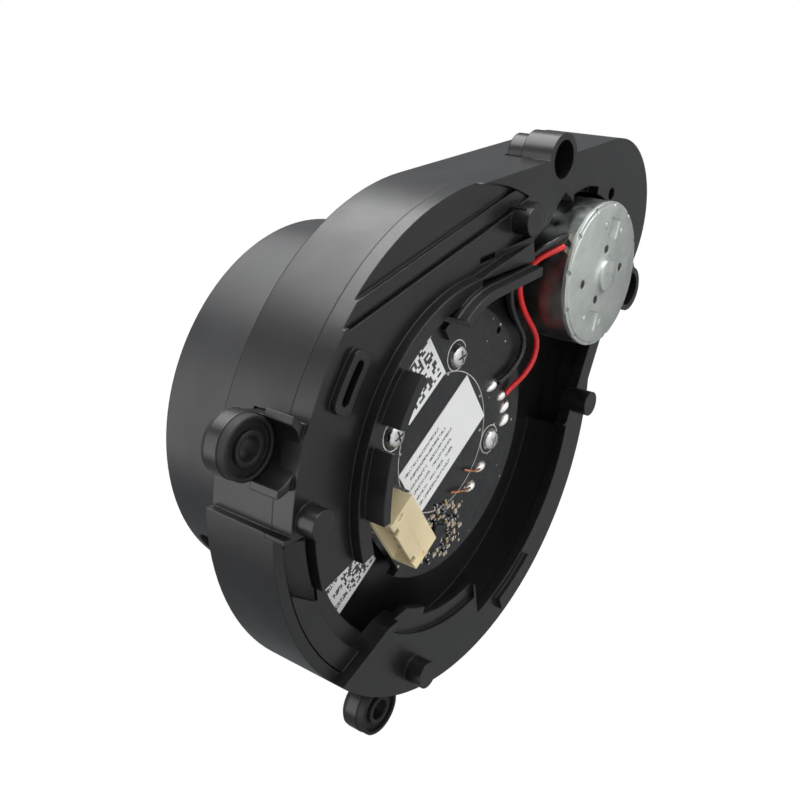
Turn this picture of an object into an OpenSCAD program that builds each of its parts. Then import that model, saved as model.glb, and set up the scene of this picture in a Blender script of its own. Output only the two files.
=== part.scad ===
// Lidar scanner module: belt-driven turret on a moulded teardrop base.
// Origin: on the turret axis, in the plane of the base plate's underside.
// +Z points up through the turret, +X points from the turret to the motor.

/* [Housing] */
// Radius of the round side of the housing
wall_r = 40.1; // [39.5:0.1:40.5]
// Height of the housing from the base plate to its top
body_h = 14.5; // [14.5:0.1:15]
// Thickness of the housing's side walls
wall_t = 1.8; // [1.5:0.1:1.8]
// Height of the seam between the lower frame and the upper cover
seam_z = 3.5; // [3.2:0.1:3.8]
// Thickness of the base plate
plate_t = 2.0; // [1.8:0.1:2.2]
// Distance from the turret axis to the middle of the motor lobe
lobe_x = 51.6; // [51.4:0.1:51.8]
// Radius of the motor lobe
lobe_r = 14.3; // [14.2:0.1:14.4]

/* [Pegs] */
// Distance between the locating pegs along X
peg_pitch_x = 57; // [57:0.5:57.5]
// Distance between the locating pegs along Y
peg_pitch_y = 44; // [43.5:0.5:44]
// Radius of a locating peg
peg_r = 2.2; // [2:0.1:2.3]
// Length of a locating peg
peg_h = 3.0; // [2.5:0.1:3.5]

/* [Turret] */
// Radius of the turret's drum
drum_r = 30.6; // [30.2:0.1:30.8]
// Height of the drum's top
drum_top = 34; // [33.8:0.1:36]
// Wall thickness of the drum
drum_t = 1.6; // [1.4:0.1:1.6]
// Direction in which the turret looks at rest
look = 149; // [149:1:155]

/* [Motor] */
// Distance from the turret axis to the motor shaft
motor_x = 39.85; // [39.8:0.05:39.9]
// Radius of the motor
motor_r = 12.2; // [12.1:0.1:12.2]
// Lowest face of the motor's end cap
motor_low = -4.25; // [-4.4:0.05:-4.1]

/* [Drive] */
// Radius of the belt's middle line on the turret
belt_big_r = 28.95; // [28.9:0.05:28.95]
// Radius of the belt's middle line on the motor pulley
belt_small_r = 4.0; // [3.9:0.1:4.1]
// Half the width of the square belt
belt_t = 0.65; // [0.6:0.05:0.7]
// Height of the belt's middle plane
belt_z = 11.5; // [11.4:0.1:11.5]

/* [Board] */
// Radius of the main circuit board
board_r = 22.2; // [21.8:0.1:22.2]
// Underside of the main circuit board
board_z = 4.0; // [3.9:0.1:4.1]
// Thickness of the main circuit board
board_t = 1.6; // [1.5:0.1:1.6]
// Distance of the board's screws from the axis
screw_r = 14; // [13.8:0.1:14.2]

/* [Bearing] */
// Number of balls in the turret bearing
balls = 12; // [8:1:14]

/* [Hidden] */
$fn = 72;
eps = 0.01;
big = 80;
lobe_y = -0.4;
// The flank that runs to the motor lobe is part of a larger, shifted circle
flank_c = [1.95, 3.26];
flank_r = 42.35;
flank_a = -60;
fender_a = -146;
web_z = 8.1;
web_t = 1.8;
web_top = web_z + web_t;
cover_t = 1.5;
cover_z = body_h - cover_t;
opening_r = drum_r + 0.7;
lip_z = 2.0;
well_r = 33.9;
ring_r = 25.1;
// Fixing ears: rear pair with rubber grommets, front pair moulded solid
ear_left = [-27.0, -33.0];
ear_rear = [-35.3, 28.8];
ear_front = [43.3, -21.2];
ear_right = [52.6, 17.4];
ear_low = 4.9;
ear_high = 9.4;
ear_r = 4.5;
grommet_hole_r = 3.4;
grommet_bore_r = 1.7;
tube_r = 4.1;
tube_hole_r = 3.05;
front_bore_r = 1.6;
front_ear_h = 8.5;
// Slanting edge that borders the shallow recess on the flank
bevel_a = -68.7;
groove_a = -70.7;
// Direction that the lead rail faces
rail_a = -60.6;
board_screw_angles = [-45.5, 49.9, -123.4];
cover_screw_places = [[17.6, 30.5], [-34.0, 9.6], [-6.5, -34.6], [60.3, -0.4]];
boss_r = 2.6;
thread_r = 1.0;
motor_top = web_z - 0.05;
motor_screw_off = 8.5;
brush_angles = [-38, 142];
bearing_r = 13;
ball_r = 1.75;
race_low = 10.2;
race_high = 17.2;
race_z = (race_low + race_high) / 2;
post_r = 9.98;
cap_z = 17.5;
floor_z = 15.1;
floor_t = 1.5;
turret_screw_angles = [20, -60, -140];
turret_screw_r = 25.4;
rotor_board_z = 18.9;
bench_z = 20.1;
lens_z = 26;
belt_a = acos((belt_big_r - belt_small_r) / motor_x);
lead_r = 0.48;
// Routes of the two motor leads, each from its motor tag to its solder pad
red_route = [[33.8, -11.9, -2.7], [32.6, -12.3, -2.3], [31.0, -12.6, -1.4], [29.4, -12.4, -0.2],
    [27.8, -11.4, 1.0], [26.4, -9.8, 1.8], [25.6, -7.4, 2.0], [25.4, -4.6, 2.0], [25.7, -1.6, 2.0],
    [26.1, 1.0, 2.0], [25.9, 3.4, 2.0], [24.6, 5.2, 2.0], [22.6, 6.0, 2.0], [20.6, 6.4, 2.3],
    [18.8, 6.7, 2.9], [17.2, 6.7, 3.3], [15.8, 6.5, 3.4]];
black_route = [[35.6, -12.6, -2.4], [34.2, -13.3, -2.2], [32.6, -13.8, -1.9], [31.0, -14.0, -1.1],
    [29.2, -13.7, 0.1], [27.3, -12.7, 1.5], [25.7, -10.9, 2.5], [24.6, -8.2, 3.0], [24.2, -4.8, 3.2],
    [24.3, -1.8, 3.2], [24.4, 1.0, 3.2], [23.6, 2.9, 3.2], [21.8, 3.9, 3.2], [19.4, 3.9, 3.2],
    [17.0, 3.3, 3.2], [15.2, 2.7, 3.3]];
coil_route_a = [[1.2, 9.0, 3.7], [2.0, 10.2, 3.2], [3.2, 11.6, 3.2], [4.2, 12.6, 3.5]];
coil_route_b = [[-3.4, 9.2, 3.7], [-2.2, 10.4, 3.2], [-0.8, 12.0, 3.2], [0.5, 13.1, 3.5]];

// ---------- helpers ----------

function dir(a) = [cos(a), sin(a)];

module wedge(a0, a1) {
    steps = 8;
    rim = [for (i = [0:steps]) big * dir(a0 + (a1 - a0) * i / steps)];
    polygon(concat([[0, 0]], rim));
}

module sector(r0, r1, a0, a1) {
    intersection() {
        difference() {
            circle(r = r1);
            circle(r = r0);
        }
        wedge(a0, a1);
    }
}

module slab(z0, z1) {
    translate([0, 0, z0]) linear_extrude(z1 - z0) children();
}

module rod(z0, z1, r, at = [0, 0]) {
    translate([at[0], at[1], z0]) cylinder(h = z1 - z0, r = r);
}

// Strip between two distances from the axis, measured along direction a
module strip(a, d0, d1, s0 = -big, s1 = big) {
    rotate(a) translate([d0, s0]) square([d1 - d0, s1 - s0]);
}

module tube(path, r, sides = 8) {
    n = len(path);
    function tangent(i) = path[min(i + 1, n - 1)] - path[max(i - 1, 0)];
    function unit(v) = v / norm(v);
    function side_of(i) = unit(cross(unit(tangent(i)), [0.1, 0.2, 1]));
    function lift_of(i) = unit(cross(side_of(i), unit(tangent(i))));
    ring_pts = [for (i = [0:n - 1]) for (k = [0:sides - 1])
        path[i] + r * (cos(360 * k / sides) * side_of(i) + sin(360 * k / sides) * lift_of(i))];
    walls = [for (i = [0:n - 2]) for (k = [0:sides - 1])
        [i * sides + k, (i + 1) * sides + k, (i + 1) * sides + (k + 1) % sides, i * sides + (k + 1) % sides]];
    first = [for (k = [0:sides - 1]) k];
    last = [for (k = [sides - 1:-1:0]) (n - 1) * sides + k];
    polyhedron(ring_pts, concat(walls, [first, last]));
}

// ---------- plan of the housing ----------

module outline(inset = 0) {
    ring = flank_c + (flank_r - inset) * dir(flank_a);
    lobe = [lobe_x, lobe_y];
    low = lobe + (lobe_r - inset) * dir(flank_a);
    up = lobe + (lobe_r - inset) * dir(105);
    round_end = (wall_r - inset) * dir(33);
    // Both ends of the far flank run on a little into the round shapes
    lead_on = 2 * (up - round_end) / norm(up - round_end);
    intersection() {
        translate(flank_c) circle(r = flank_r - inset, $fn = 144);
        wedge(fender_a, -50);
    }
    intersection() {
        circle(r = wall_r - inset, $fn = 144);
        wedge(33, 361 + fender_a);
    }
    translate(lobe) circle(r = lobe_r - inset);
    polygon([[0, 0], ring, low, lobe, up + lead_on, round_end - lead_on]);
}

// Where the base plate is open to the board and to the motor
module plate_opening() {
    circle(r = ring_r, $fn = 144);
    sector(20, well_r, 45, 112);
    sector(20, 27.4, 110, 141);
    sector(20, 26.1, 140, 153);
    translate([motor_x, 0]) circle(r = motor_r + 0.8);
    translate([motor_x, 0]) intersection() {
        circle(r = motor_r + 2);
        wedge(-76, -40);
    }
    polygon([[9.1, -23.4], [27.4, -14.9], [30, -15.7], [35, -14.8], [38.6, -15.9], [41.5, -16],
        [43.2, -12], [motor_x, 0], [43.5, 12.4], [34.7, 17.2], [24.4, 23.4], [12, 20]]);
    exit_area();
}

// The lip over the cable exit, set back above the plate
module fender_lip() {
    intersection() {
        outline(wall_t + 0.2);
        wedge(fender_a + 363, 165);
    }
}

module crescent(from) {
    intersection() {
        strip(groove_a, from, 60);
        translate([1.45, -4.64]) circle(r = 36.06, $fn = 144);
    }
}

// Everything between the two sides of the cable exit
module exit_area() {
    polygon([[-20, -7.5], [-24.5, -7.5], [-45, -13.76], [-45, 6.83], [-27.91, 9.66], [-23.0, 12.2], [-20, 12.2]]);
}

module exit_pocket() {
    polygon([[-31.6, -19.6], [-28.1, -15.3], [-33.0, -5.7], [-36.2, -13.2], [-33.6, -19.6]]);
}

// ---------- lower frame ----------

module frame_plate() {
    difference() {
        slab(0, plate_t) outline(0);
        slab(-1, plate_t + 1) plate_opening();
        // The fender side is recessed up to the lip
        slab(-1, plate_t + 1) sector(34.3, 60, fender_a, fender_a - 40);
        // Straight groove and a crescent recess in two steps on the flank
        slab(-1, 1.0) strip(groove_a, 31.9, 32.5, -20.5, 19);
        slab(-1, 0.45) crescent(32.4);
        slab(-1, 1.1) crescent(34.6);
        // Small slot beside the wire ribs
        slab(-1, 1.2) translate([19.4, -22.6]) rotate(30) square([4.0, 0.9], center = true);
        // Lens-shaped recess beside the cable exit
        slab(-1, 0.8) sector(20, 29.95, 113, 157.5);
        // Pointing hole in the lobe, notch of the front ear and slotted boss
        rod(-1, plate_t + 1, 1.1, [53.8, -4.9]);
        rod(-1, plate_t + 1, tube_hole_r, ear_front);
        slab(-1, 1.4) boss_slot();
    }
}

module raised_ring() {
    slab(-1.7, plate_t) sector(ring_r, 27.5, -163, -56.5);
    // Two snap tabs
    slab(-5, 0) sector(24.8, 26.2, -118.7, -101);
    slab(-5, 0) sector(24.8, 26.2, -148.5, -126);
}

// Hooked rail that holds the motor leads down: a straight run with a curved start
module lead_rail(extra = 0) {
    strip(rail_a, 24.7, 26.1 + extra, 3 - eps, 15);
    rotate(rail_a) translate([11.3, 3]) intersection() {
        difference() {
            circle(r = 14.8 + extra, $fn = 96);
            circle(r = 13.4, $fn = 96);
        }
        wedge(-34, 1);
    }
}

// The rail, the ring's straight end beside it and the wedge behind that
module wire_ribs() {
    slab(-4, 0.5) lead_rail();
    slab(-2.4, 0.5) lead_rail(0.15);
    slab(-1.7, plate_t) intersection() {
        strip(bevel_a, 20, 26.9, -0.6, 20);
        strip(-57.2, 27.2, 60);
    }
    rotate(bevel_a) translate([26.9 - eps, 0, 0]) rotate([90, 0, 90]) linear_extrude(0.9)
        polygon([[14, 0.5], [14, 0], [20, -1.7], [20, 0.5]]);
}

module pegs() {
    for (sx = [-1, 1]) for (sy = [-1, 1])
        rod(-peg_h, plate_t, peg_r, [sx * peg_pitch_x / 2, sy * peg_pitch_y / 2]);
    // Stop block beside the peg nearest the motor
    slab(-peg_h + 0.9, plate_t) polygon([[28.5, -24.4], [32.0, -22.6], [33.2, -19.4], [31.4, -18.4], [28.5, -19.8]]);
}

module boss_slot() {
    sector(33.3, 34.8, -116.3, -108);
    for (a = [-116.3, -108]) translate(34.05 * dir(a)) circle(r = 0.74);
}

module slotted_bosses() {
    difference() {
        slab(-1, 0.5) {
            sector(32.2, 35.9, -117.7, -106.6);
            sector(33.2, 34.9, -119.5, -104.8);
            for (a = [-117.7, -106.6]) for (r = [33.25, 34.85]) translate(r * dir(a)) circle(r = 1);
        }
        slab(-2, 1) boss_slot();
    }
    slab(-1, 0.5) sector(35.0, 37.6, 86, 103);
}

module ear_neck(at, half, z0, z1, r_from) {
    a = atan2(at[1], at[0]);
    slab(z0, z1) rotate(a) translate([r_from, -half]) square([norm(at) - r_from, 2 * half]);
}

module rear_ears() {
    difference() {
        union() {
            for (at = [ear_left, ear_rear]) rod(6.4, 8.6, ear_r, at);
            ear_neck(ear_left, 4.3, 0.6, 8.6, 36.2);
            ear_neck(ear_rear, 3.1, seam_z, 8.6, 34.6);
        }
        for (at = [ear_left, ear_rear]) {
            rod(6, 9, grommet_hole_r, at);
            rod(-1, 6.4, ear_r + 0.1, at);
        }
    }
    // Half tube that guides the screwdriver to the left ear
    difference() {
        intersection() {
            rod(0.6, 5.4, 5.6, ear_left);
            slab(0, 6) outline(-2.6);
        }
        rod(-1, 6, 4.5, ear_left);
    }
}

module front_ears() {
    difference() {
        union() {
            for (at = [ear_front, ear_right]) rod(0, 5.5, tube_r, at);
            for (at = [ear_front, ear_right]) rod(5.5 - eps, front_ear_h, 3.3, at);
            slab(0, front_ear_h) polygon([[49.6, 12], [56.0, 12], [55.6, 17.4], [49.6, 17.4]]);
        }
        for (at = [ear_front, ear_right]) {
            rod(-1, 5.5, tube_hole_r, at);
            rod(-1, 10, front_bore_r, at);
        }
    }
}

module frame_walls() {
    difference() {
        union() {
            // Skirt below the seam
            slab(plate_t, seam_z) difference() {
                outline(0);
                outline(wall_t);
            }
            // Locating lip inside the upper cover
            slab(plate_t, seam_z + 1.5) difference() {
                outline(wall_t + 0.1);
                outline(wall_t + 1.2);
            }
        }
        slab(-1, 10) wedge(fender_a, -194.5);
        rod(-1, 10, tube_hole_r, ear_front);
    }
    // Walls of the deep well, of the ring and of the motor bay
    slab(plate_t - eps, web_z) sector(34, 35.4, 46, 157);
    slab(plate_t - eps, web_z) sector(ring_r, 26.6, -163, -79);
    slab(plate_t - eps, web_z) translate([motor_x, 0]) intersection() {
        difference() {
            circle(r = motor_r + 2.2);
            circle(r = motor_r + 0.8);
        }
        wedge(-70, 65);
    }
    // Lip above the cable exit
    difference() {
        slab(lip_z, seam_z) fender_lip();
        slab(lip_z - 1, seam_z + 1) circle(r = 31.6);
        slab(lip_z - 1, seam_z + 1) exit_pocket();
        translate([0, 0, lip_z - 3.2]) rod(0, 4.2, 34.4);
    }
    slab(lip_z, web_z) difference() {
        sector(36.8, 38.1, 172, 196);
        circle(r = 36.8);
    }
    slab(plate_t - eps, seam_z) difference() {
        sector(27, 38.0, 156, 172);
        exit_area();
    }
}

module frame_web() {
    difference() {
        slab(web_z, web_top) outline(wall_t + 0.3);
        rod(0, 20, 3.5, [motor_x, 0]);
        rod(0, 20, 1.9);
        for (s = [-1, 1]) rod(0, 20, 1.15, [motor_x + s * motor_screw_off, 0]);
        // Relief behind the front ear
        rod(0, 20, front_bore_r, ear_front);
    }
    for (p = cover_screw_places) difference() {
        rod(web_top - eps, cover_z, boss_r, p);
        rod(web_top, 20, thread_r, p);
    }
    // Post that carries the bearing
    difference() {
        union() {
            rod(web_top - eps, race_low, 11.6);
            rod(web_top - eps, race_high - 0.1, post_r);
        }
        rod(web_top - 1, 20, 8.2);
    }
    // Pillars for the main board
    for (a = board_screw_angles) difference() {
        rod(board_z + board_t, web_z + eps, 2.4, screw_r * dir(a));
        rod(0, web_z, 0.8, screw_r * dir(a));
    }
}

module lower_frame() {
    color("#17181a") {
        frame_plate();
        raised_ring();
        wire_ribs();
        pegs();
        slotted_bosses();
        frame_walls();
        frame_web();
        rear_ears();
        front_ears();
    }
}

// ---------- upper cover ----------

module upper_cover() {
    color("#1b1c1e") difference() {
        union() {
            slab(seam_z, body_h) difference() {
                outline(0);
                outline(wall_t);
            }
            // Fender skirt, which reaches lower over the cable exit
            slab(lip_z, seam_z + eps) intersection() {
                difference() {
                    outline(0);
                    outline(wall_t);
                }
                wedge(fender_a, -194.5);
            }
            slab(cover_z, body_h) outline(1);
            rod(cover_z, body_h + 0.6, opening_r + 1.6);
        }
        rod(0, 20, opening_r);
        for (p = cover_screw_places) {
            rod(0, 20, 1.15, p);
            rod(body_h - 0.8, 20, 2.1, p);
        }
        // Notches for the ears
        for (at = [ear_front, ear_right]) rod(0, front_ear_h + 0.1, tube_r + 0.1, at);
        slab(0, front_ear_h + 0.1) polygon([[49.5, 10], [56.1, 10], [55.7, 17.4], [49.5, 17.4]]);
        ear_neck(ear_left, 4.4, 0, 9.6, 34);
        ear_neck(ear_rear, 3.2, 0, 9.6, 34);
        rod(0, 9.6, 5.7, ear_left);
    }
}

module mount_grommets() {
    color("#0f0f10") for (at = [ear_left, ear_rear]) difference() {
        union() {
            rod(ear_low, 6.4, 4.4, at);
            rod(6.4 - eps, 8.6 + eps, grommet_hole_r, at);
            rod(8.6, ear_high, 4.4, at);
        }
        rod(0, 20, grommet_bore_r, at);
        // Ring-shaped hollow in the low face
        difference() {
            rod(ear_low - 1, ear_low + 0.8, 3.8, at);
            rod(ear_low - 2, ear_low + 1, 2.5, at);
        }
    }
}

module pan_screw(at, head_z, head_r, head_h, shank_r, shank_z0, shank_z1, up = true) {
    cross_z = up ? head_z + head_h - 0.5 : head_z - head_h;
    difference() {
        union() {
            if (up) rod(head_z, head_z + head_h, head_r, at);
            if (!up) rod(head_z - head_h, head_z, head_r, at);
            rod(shank_z0, shank_z1, shank_r, at);
        }
        for (a = [0, 90]) translate([at[0], at[1], cross_z - (up ? 0 : 0.5)]) rotate(a)
            translate([-head_r * 0.6, -0.2, 0]) cube([head_r * 1.2, 0.4, 1.0]);
    }
}

module cover_screws() {
    color("#9a9c9e") for (p = cover_screw_places)
        pan_screw(p, body_h - 0.8, 1.9, 0.8, thread_r - 0.02, web_top + 0.4, body_h - 0.75);
}

// ---------- motor ----------

module motor_can() {
    color("#7d8583") difference() {
        rod(motor_low + 0.85, motor_top, motor_r, [motor_x, 0]);
        rod(motor_low, motor_top - 0.8, motor_r - 0.8, [motor_x, 0]);
        rod(0, 20, 2.9, [motor_x, 0]);
        for (s = [-1, 1]) rod(0, 20, 0.95, [motor_x + s * motor_screw_off, 0]);
    }
}

module motor_end_cap() {
    at = [motor_x, 0];
    color("#b4bdb8") difference() {
        union() {
            rod(motor_low, motor_low + 0.85, motor_r - 0.5, at);
            rod(motor_low + 0.3, motor_low + 0.85, motor_r, at);
            rod(motor_low - 0.2, motor_low + 0.1, 3.7, at);
            rod(motor_low - 1.1, motor_low, 2.7, at);
            rod(motor_low, motor_low + 1.8, 3.0, at);
        }
        rod(motor_low - 0.7, 20, 1.03, at);
        // Ventilation holes
        for (v = [[4.3, -51], [4.4, 150], [6.2, 32], [7.0, -149]]) rod(-10, 10, 0.75, at + v[0] * dir(v[1]));
        // Square dimples of the brush plate
        for (a = brush_angles) translate([at[0] + 7.9 * cos(a), at[1] + 7.9 * sin(a), motor_low - 1])
            rotate(a) translate([-1.7, -1.7, 0]) cube([3.4, 3.4, 1.25]);
    }
}

module motor_rivets() {
    color("#c9c4b8") for (a = brush_angles) for (s = [-3, 3])
        rod(motor_low - 0.2, motor_low, 0.6, [motor_x, 0] + 7.9 * dir(a) + s * dir(a + 90));
}

module motor_terminals() {
    color("#b9a46a") for (a = [-118, -108.6]) translate([motor_x, 0, 0]) rotate(a)
        translate([motor_r, -0.5, -2.9]) cube([0.75, 1.0, 0.6]);
}

module motor_magnet() {
    color("#3b3b3d") difference() {
        rod(-2.4, motor_top - 1.2, 11.3, [motor_x, 0]);
        rod(-3, 8, 8.8, [motor_x, 0]);
    }
}

module motor_bush() {
    color("#b08d4a") difference() {
        rod(motor_top - 1.6, motor_top + 1.2, 2.85, [motor_x, 0]);
        rod(0, 20, 1.03, [motor_x, 0]);
    }
}

module motor_screws() {
    color("#a6a8aa") for (s = [-1, 1])
        pan_screw([motor_x + s * motor_screw_off, 0], web_top, 1.85, 1.1, 0.93, motor_top - 0.7, web_top + eps);
}

module motor_shaft() {
    color("#c8cacc") rod(motor_low - 0.6, 12.8, 1.0, [motor_x, 0]);
}

module motor_armature() {
    at = [motor_x, 0];
    color("#8a5a35") difference() {
        union() {
            rod(-0.4, 4.6, 3.0, at);
            for (a = [0, 120, 240]) translate([motor_x, 0, 0]) rotate(a) {
                translate([0, -1.2, 0]) cube([7.2, 2.4, 4.4]);
                translate([3.4, -2.5, -0.4]) cube([3.0, 5.0, 5.2]);
            }
            difference() {
                rod(0, 4.4, 8.2, at);
                rod(-1, 5, 6.9, at);
                for (a = [60, 180, 300]) translate([motor_x, 0, -1]) rotate(a)
                    translate([5, -0.9, 0]) cube([6, 1.8, 8]);
            }
        }
        rod(-2, 8, 1.0, at);
    }
}

module motor_pulley() {
    at = [motor_x, 0];
    color("#dcdcd4") difference() {
        rod(10.2, 12.75, belt_small_r + 0.9, at);
        rod(9, 14, 1.0, at);
        rim_groove(belt_small_r, [motor_x, 0]);
    }
}

// Groove for the belt, a running clearance larger than the belt itself
module rim_groove(r, at = [0, 0]) {
    gap = 0.08;
    translate([at[0], at[1], belt_z - belt_t - gap]) difference() {
        cylinder(h = 2 * (belt_t + gap), r = r + 4);
        translate([0, 0, -1]) cylinder(h = 6, r = r - belt_t - gap);
    }
}

// Loop around both pulleys, drawn as short chords so that it closes cleanly
module belt_loop(grow) {
    steps = 60;
    wide = 360 - 2 * belt_a;
    polygon(concat(
        [for (i = [0:steps]) (belt_big_r + grow) * dir(belt_a + wide * i / steps)],
        [for (i = [0:20]) (belt_small_r + grow) * dir(-belt_a + 2 * belt_a * i / 20) + [motor_x, 0]]));
}

module drive_belt() {
    color("#101010") slab(belt_z - belt_t, belt_z + belt_t) difference() {
        belt_loop(belt_t);
        belt_loop(-belt_t);
    }
}

// ---------- main board ----------

module main_board() {
    color("#2a2e31") difference() {
        rod(board_z, board_z + board_t, board_r);
        translate([-board_r - 5.2, -9, 0]) cube([8.4, 18, 10]);
        for (a = board_screw_angles) rod(0, 10, 1.1, screw_r * dir(a));
        rod(0, 10, 0.6, [20.3, -4.5]);
    }
}

module board_screws() {
    color("#c3c5c6") for (a = board_screw_angles)
        pan_screw(screw_r * dir(a), board_z, 1.9, 1.2, 0.78, board_z - eps, board_z + board_t + 2.2, false);
}

module connector_shell() {
    color("#e3d2a4") difference() {
        translate([-19.0, -6.2, -0.8]) cube([6.0, 11.9, board_z + 0.8]);
        translate([-20.0, -5.4, -0.1]) cube([6.2, 10.3, 3.3]);
        // Key slots in the mouth and the small windows over the pins
        for (y = [-4.6, 3.0]) translate([-20, y, -1.5]) cube([1.9, 1.0, 1.6]);
        for (i = [0:4]) translate([-14.5, -4.25 + 2 * i - 0.35, 1.0]) cube([3, 0.7, 0.7]);
    }
}

module connector_pins() {
    color("#c9b36b") for (i = [0:4]) translate([0, -4.25 + 2 * i, 0]) {
        translate([-18.2, -0.25, 1.1]) cube([6.4, 0.5, 0.5]);
        translate([-12.3, -0.25, 1.1]) cube([0.5, 0.5, board_z - 1.1]);
    }
}

// Small chip parts in slanting rows, with sizes that vary by a fixed rule
module small_parts() {
    color("#b8a98a") intersection() {
        for (row = [0:6]) for (col = [0:7]) {
            w = 0.9 + 0.3 * ((row * 3 + col * 2) % 3);
            h = 0.45 + 0.15 * ((row + col * 3) % 3);
            if ((row * 5 + col * 3) % 7 != 0)
                translate([-16.9 + 2 * col - 0.3 * row, 5.9 + 1.9 * row + 0.4 * col, board_z - h])
                    rotate(24 * ((row + col) % 2) + 8) translate([-w / 2, -0.45, 0]) cube([w, 0.9, h]);
        }
        slab(0, board_z) circle(r = board_r - 0.8);
        slab(0, board_z) difference() {
            polygon([[-15.5, 9.5], [-10.6, 6.3], [-3.6, 8.7], [-2.5, 13.5], [-4.1, 18.5], [-10.7, 18.6], [-17.0, 12.6]]);
            translate([-10.2, 12.0]) rotate(145) square([4.2, 3.0], center = true);
        }
    }
}

module board_chips() {
    color("#1c1c1d") {
        translate([-10.2, 12.0, board_z - 1.0]) rotate(145) translate([-1.9, -1.3, 0]) cube([3.8, 2.6, 1.0]);
        translate([9.0, -17.0, board_z - 0.8]) cube([3.0, 2.4, 0.8]);
        // Parts on the upper side
        translate([-10.5, -8.2, board_z + board_t]) cube([5.5, 5.5, 1.0]);
        translate([2.0, -8.6, board_z + board_t]) cube([4.6, 4.0, 0.9]);
        translate([5, 2.4, board_z + board_t]) cube([4.2, 5.2, 1.4]);
        translate([-8, 6, board_z + board_t]) cube([3.2, 3.2, 1.6]);
    }
}

module solder_joints() {
    color("#c8cbcc") for (p = [[15.3, 6.4], [15.0, 9.0], [14.2, 2.5], [13.8, 11.2], [4.7, 12.9], [0.9, 13.5]])
        difference() {
            translate([p[0], p[1], board_z]) sphere(r = 1.05, $fn = 32);
            rod(board_z, board_z + 3, 2, p);
        }
}

module coil_leads() {
    color("#a4532a") {
        tube(coil_route_a, 0.2, 6);
        tube(coil_route_b, 0.2, 6);
    }
}

module product_label() {
    color("#e9e9e6") translate([-10.5, -4.9, board_z - 0.1]) cube([20.6, 10.4, 0.1]);
}

module code_label() {
    color("#e9e9e6") translate([-4.4, -19.4, board_z - 0.1]) cube([10.7, 9.4, 0.1]);
}

module side_label() {
    color("#e9e9e6") translate([-30.3, 0.6, web_z - 0.1]) cube([11.2, 7.5, 0.1]);
}

module motor_lead_red() {
    color("#b3202a") tube(red_route, lead_r);
}

module motor_lead_black() {
    color("#141414") tube(black_route, lead_r);
}

// Light gate astride the turret's toothed ring
module index_sensor() {
    color("#141415") rotate(75) difference() {
        translate([18.9, -3.0, web_top]) cube([4.6, 6.0, 4.3]);
        translate([20.2, -4, web_top + 1.4]) cube([1.9, 8, 5]);
    }
}

module primary_core() {
    color("#4b4543") difference() {
        rod(web_top, 13.4, 8.0);
        slab(11.0, 14) difference() {
            circle(r = 6.7);
            circle(r = 3.6);
        }
        rod(0, 20, 1.9);
    }
}

module primary_coil() {
    color("#b5652f") slab(11.05, 13.2) difference() {
        circle(r = 6.5);
        circle(r = 3.8);
    }
}

module data_emitter() {
    color("#d8dce0") {
        rod(board_z + board_t, board_z + board_t + 1, 1.7);
        rod(board_z + board_t, 11.6, 1.5);
        translate([0, 0, 11.6]) sphere(r = 1.5, $fn = 32);
    }
}

// ---------- bearing ----------

module race(r_in, r_out) {
    difference() {
        slab(race_low, race_high) difference() {
            circle(r = r_out);
            circle(r = r_in);
        }
        translate([0, 0, race_z]) rotate_extrude() translate([bearing_r, 0]) circle(r = ball_r + 0.1);
    }
}

module bearing_inner_race() {
    color("#b9bcbf") race(10, 12);
}

module bearing_outer_race() {
    color("#b9bcbf") race(14, 16);
}

module bearing_balls() {
    color("#dfe2e4") for (i = [0:balls - 1])
        translate(concat(bearing_r * dir(360 * i / balls), [race_z])) sphere(r = ball_r, $fn = 32);
}

module bearing_cage() {
    color("#c7b58a") difference() {
        slab(race_z - 2.3, race_z + 2.3) difference() {
            circle(r = 13.8);
            circle(r = 12.2);
        }
        for (i = [0:balls - 1]) rotate(360 * i / balls) translate([11, 0, race_z])
            rotate([0, 90, 0]) cylinder(h = 4, r = ball_r + 0.05);
    }
}

// ---------- turret ----------

module turret_places() {
    for (a = turret_screw_angles) rotate(a) translate([turret_screw_r, 0, 0]) children();
}

module rotor_base() {
    color("#1f2022") {
        difference() {
            rotate_extrude() polygon([[16.02, 10.6], [18.2, 10.6], [18.2, floor_z], [27.0, floor_z],
                [27.0, 10.6], [28.9, 10.6], [28.9, floor_z + floor_t], [18.2, floor_z + floor_t],
                [18.2, 18.6], [2.2, 18.6], [2.2, cap_z], [14.3, cap_z], [14.3, race_high], [16.02, race_high]]);
            rim_groove(belt_big_r);
            turret_places() rod(floor_z - 1, 20, 1.1);
            for (a = [70, 190, 310]) rod(15, 20, 0.7, 21 * dir(a));
        }
        // Encoder teeth, one of them narrow to mark the zero position
        slab(12.6, floor_z + eps) for (i = [0:14])
            sector(20.6, 21.6, 24 * i, 24 * i + (i == 0 ? 5 : 12));
        for (a = [70, 190, 310]) difference() {
            rod(floor_z + floor_t - eps, rotor_board_z, 1.8, 21 * dir(a));
            rod(15, 20, 0.7, 21 * dir(a));
        }
    }
}

module rotor_board() {
    color("#1d4a33") difference() {
        rod(rotor_board_z, rotor_board_z + 1.2, 23.0);
        rod(0, 30, 0.6);
        for (a = [70, 190, 310]) rod(0, 30, 0.9, 21 * dir(a));
    }
}

module secondary_core() {
    color("#4b4543") difference() {
        rod(14.2, cap_z, 7.7);
        slab(13, 16.6) difference() {
            circle(r = 6.7);
            circle(r = 3.6);
        }
        rod(0, 20, 2.2);
    }
}

module secondary_coil() {
    color("#b5652f") slab(14.4, 16.55) difference() {
        circle(r = 6.5);
        circle(r = 3.8);
    }
}

module data_receiver() {
    color("#22252a") rod(15.6, rotor_board_z, 1.5);
}

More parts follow.
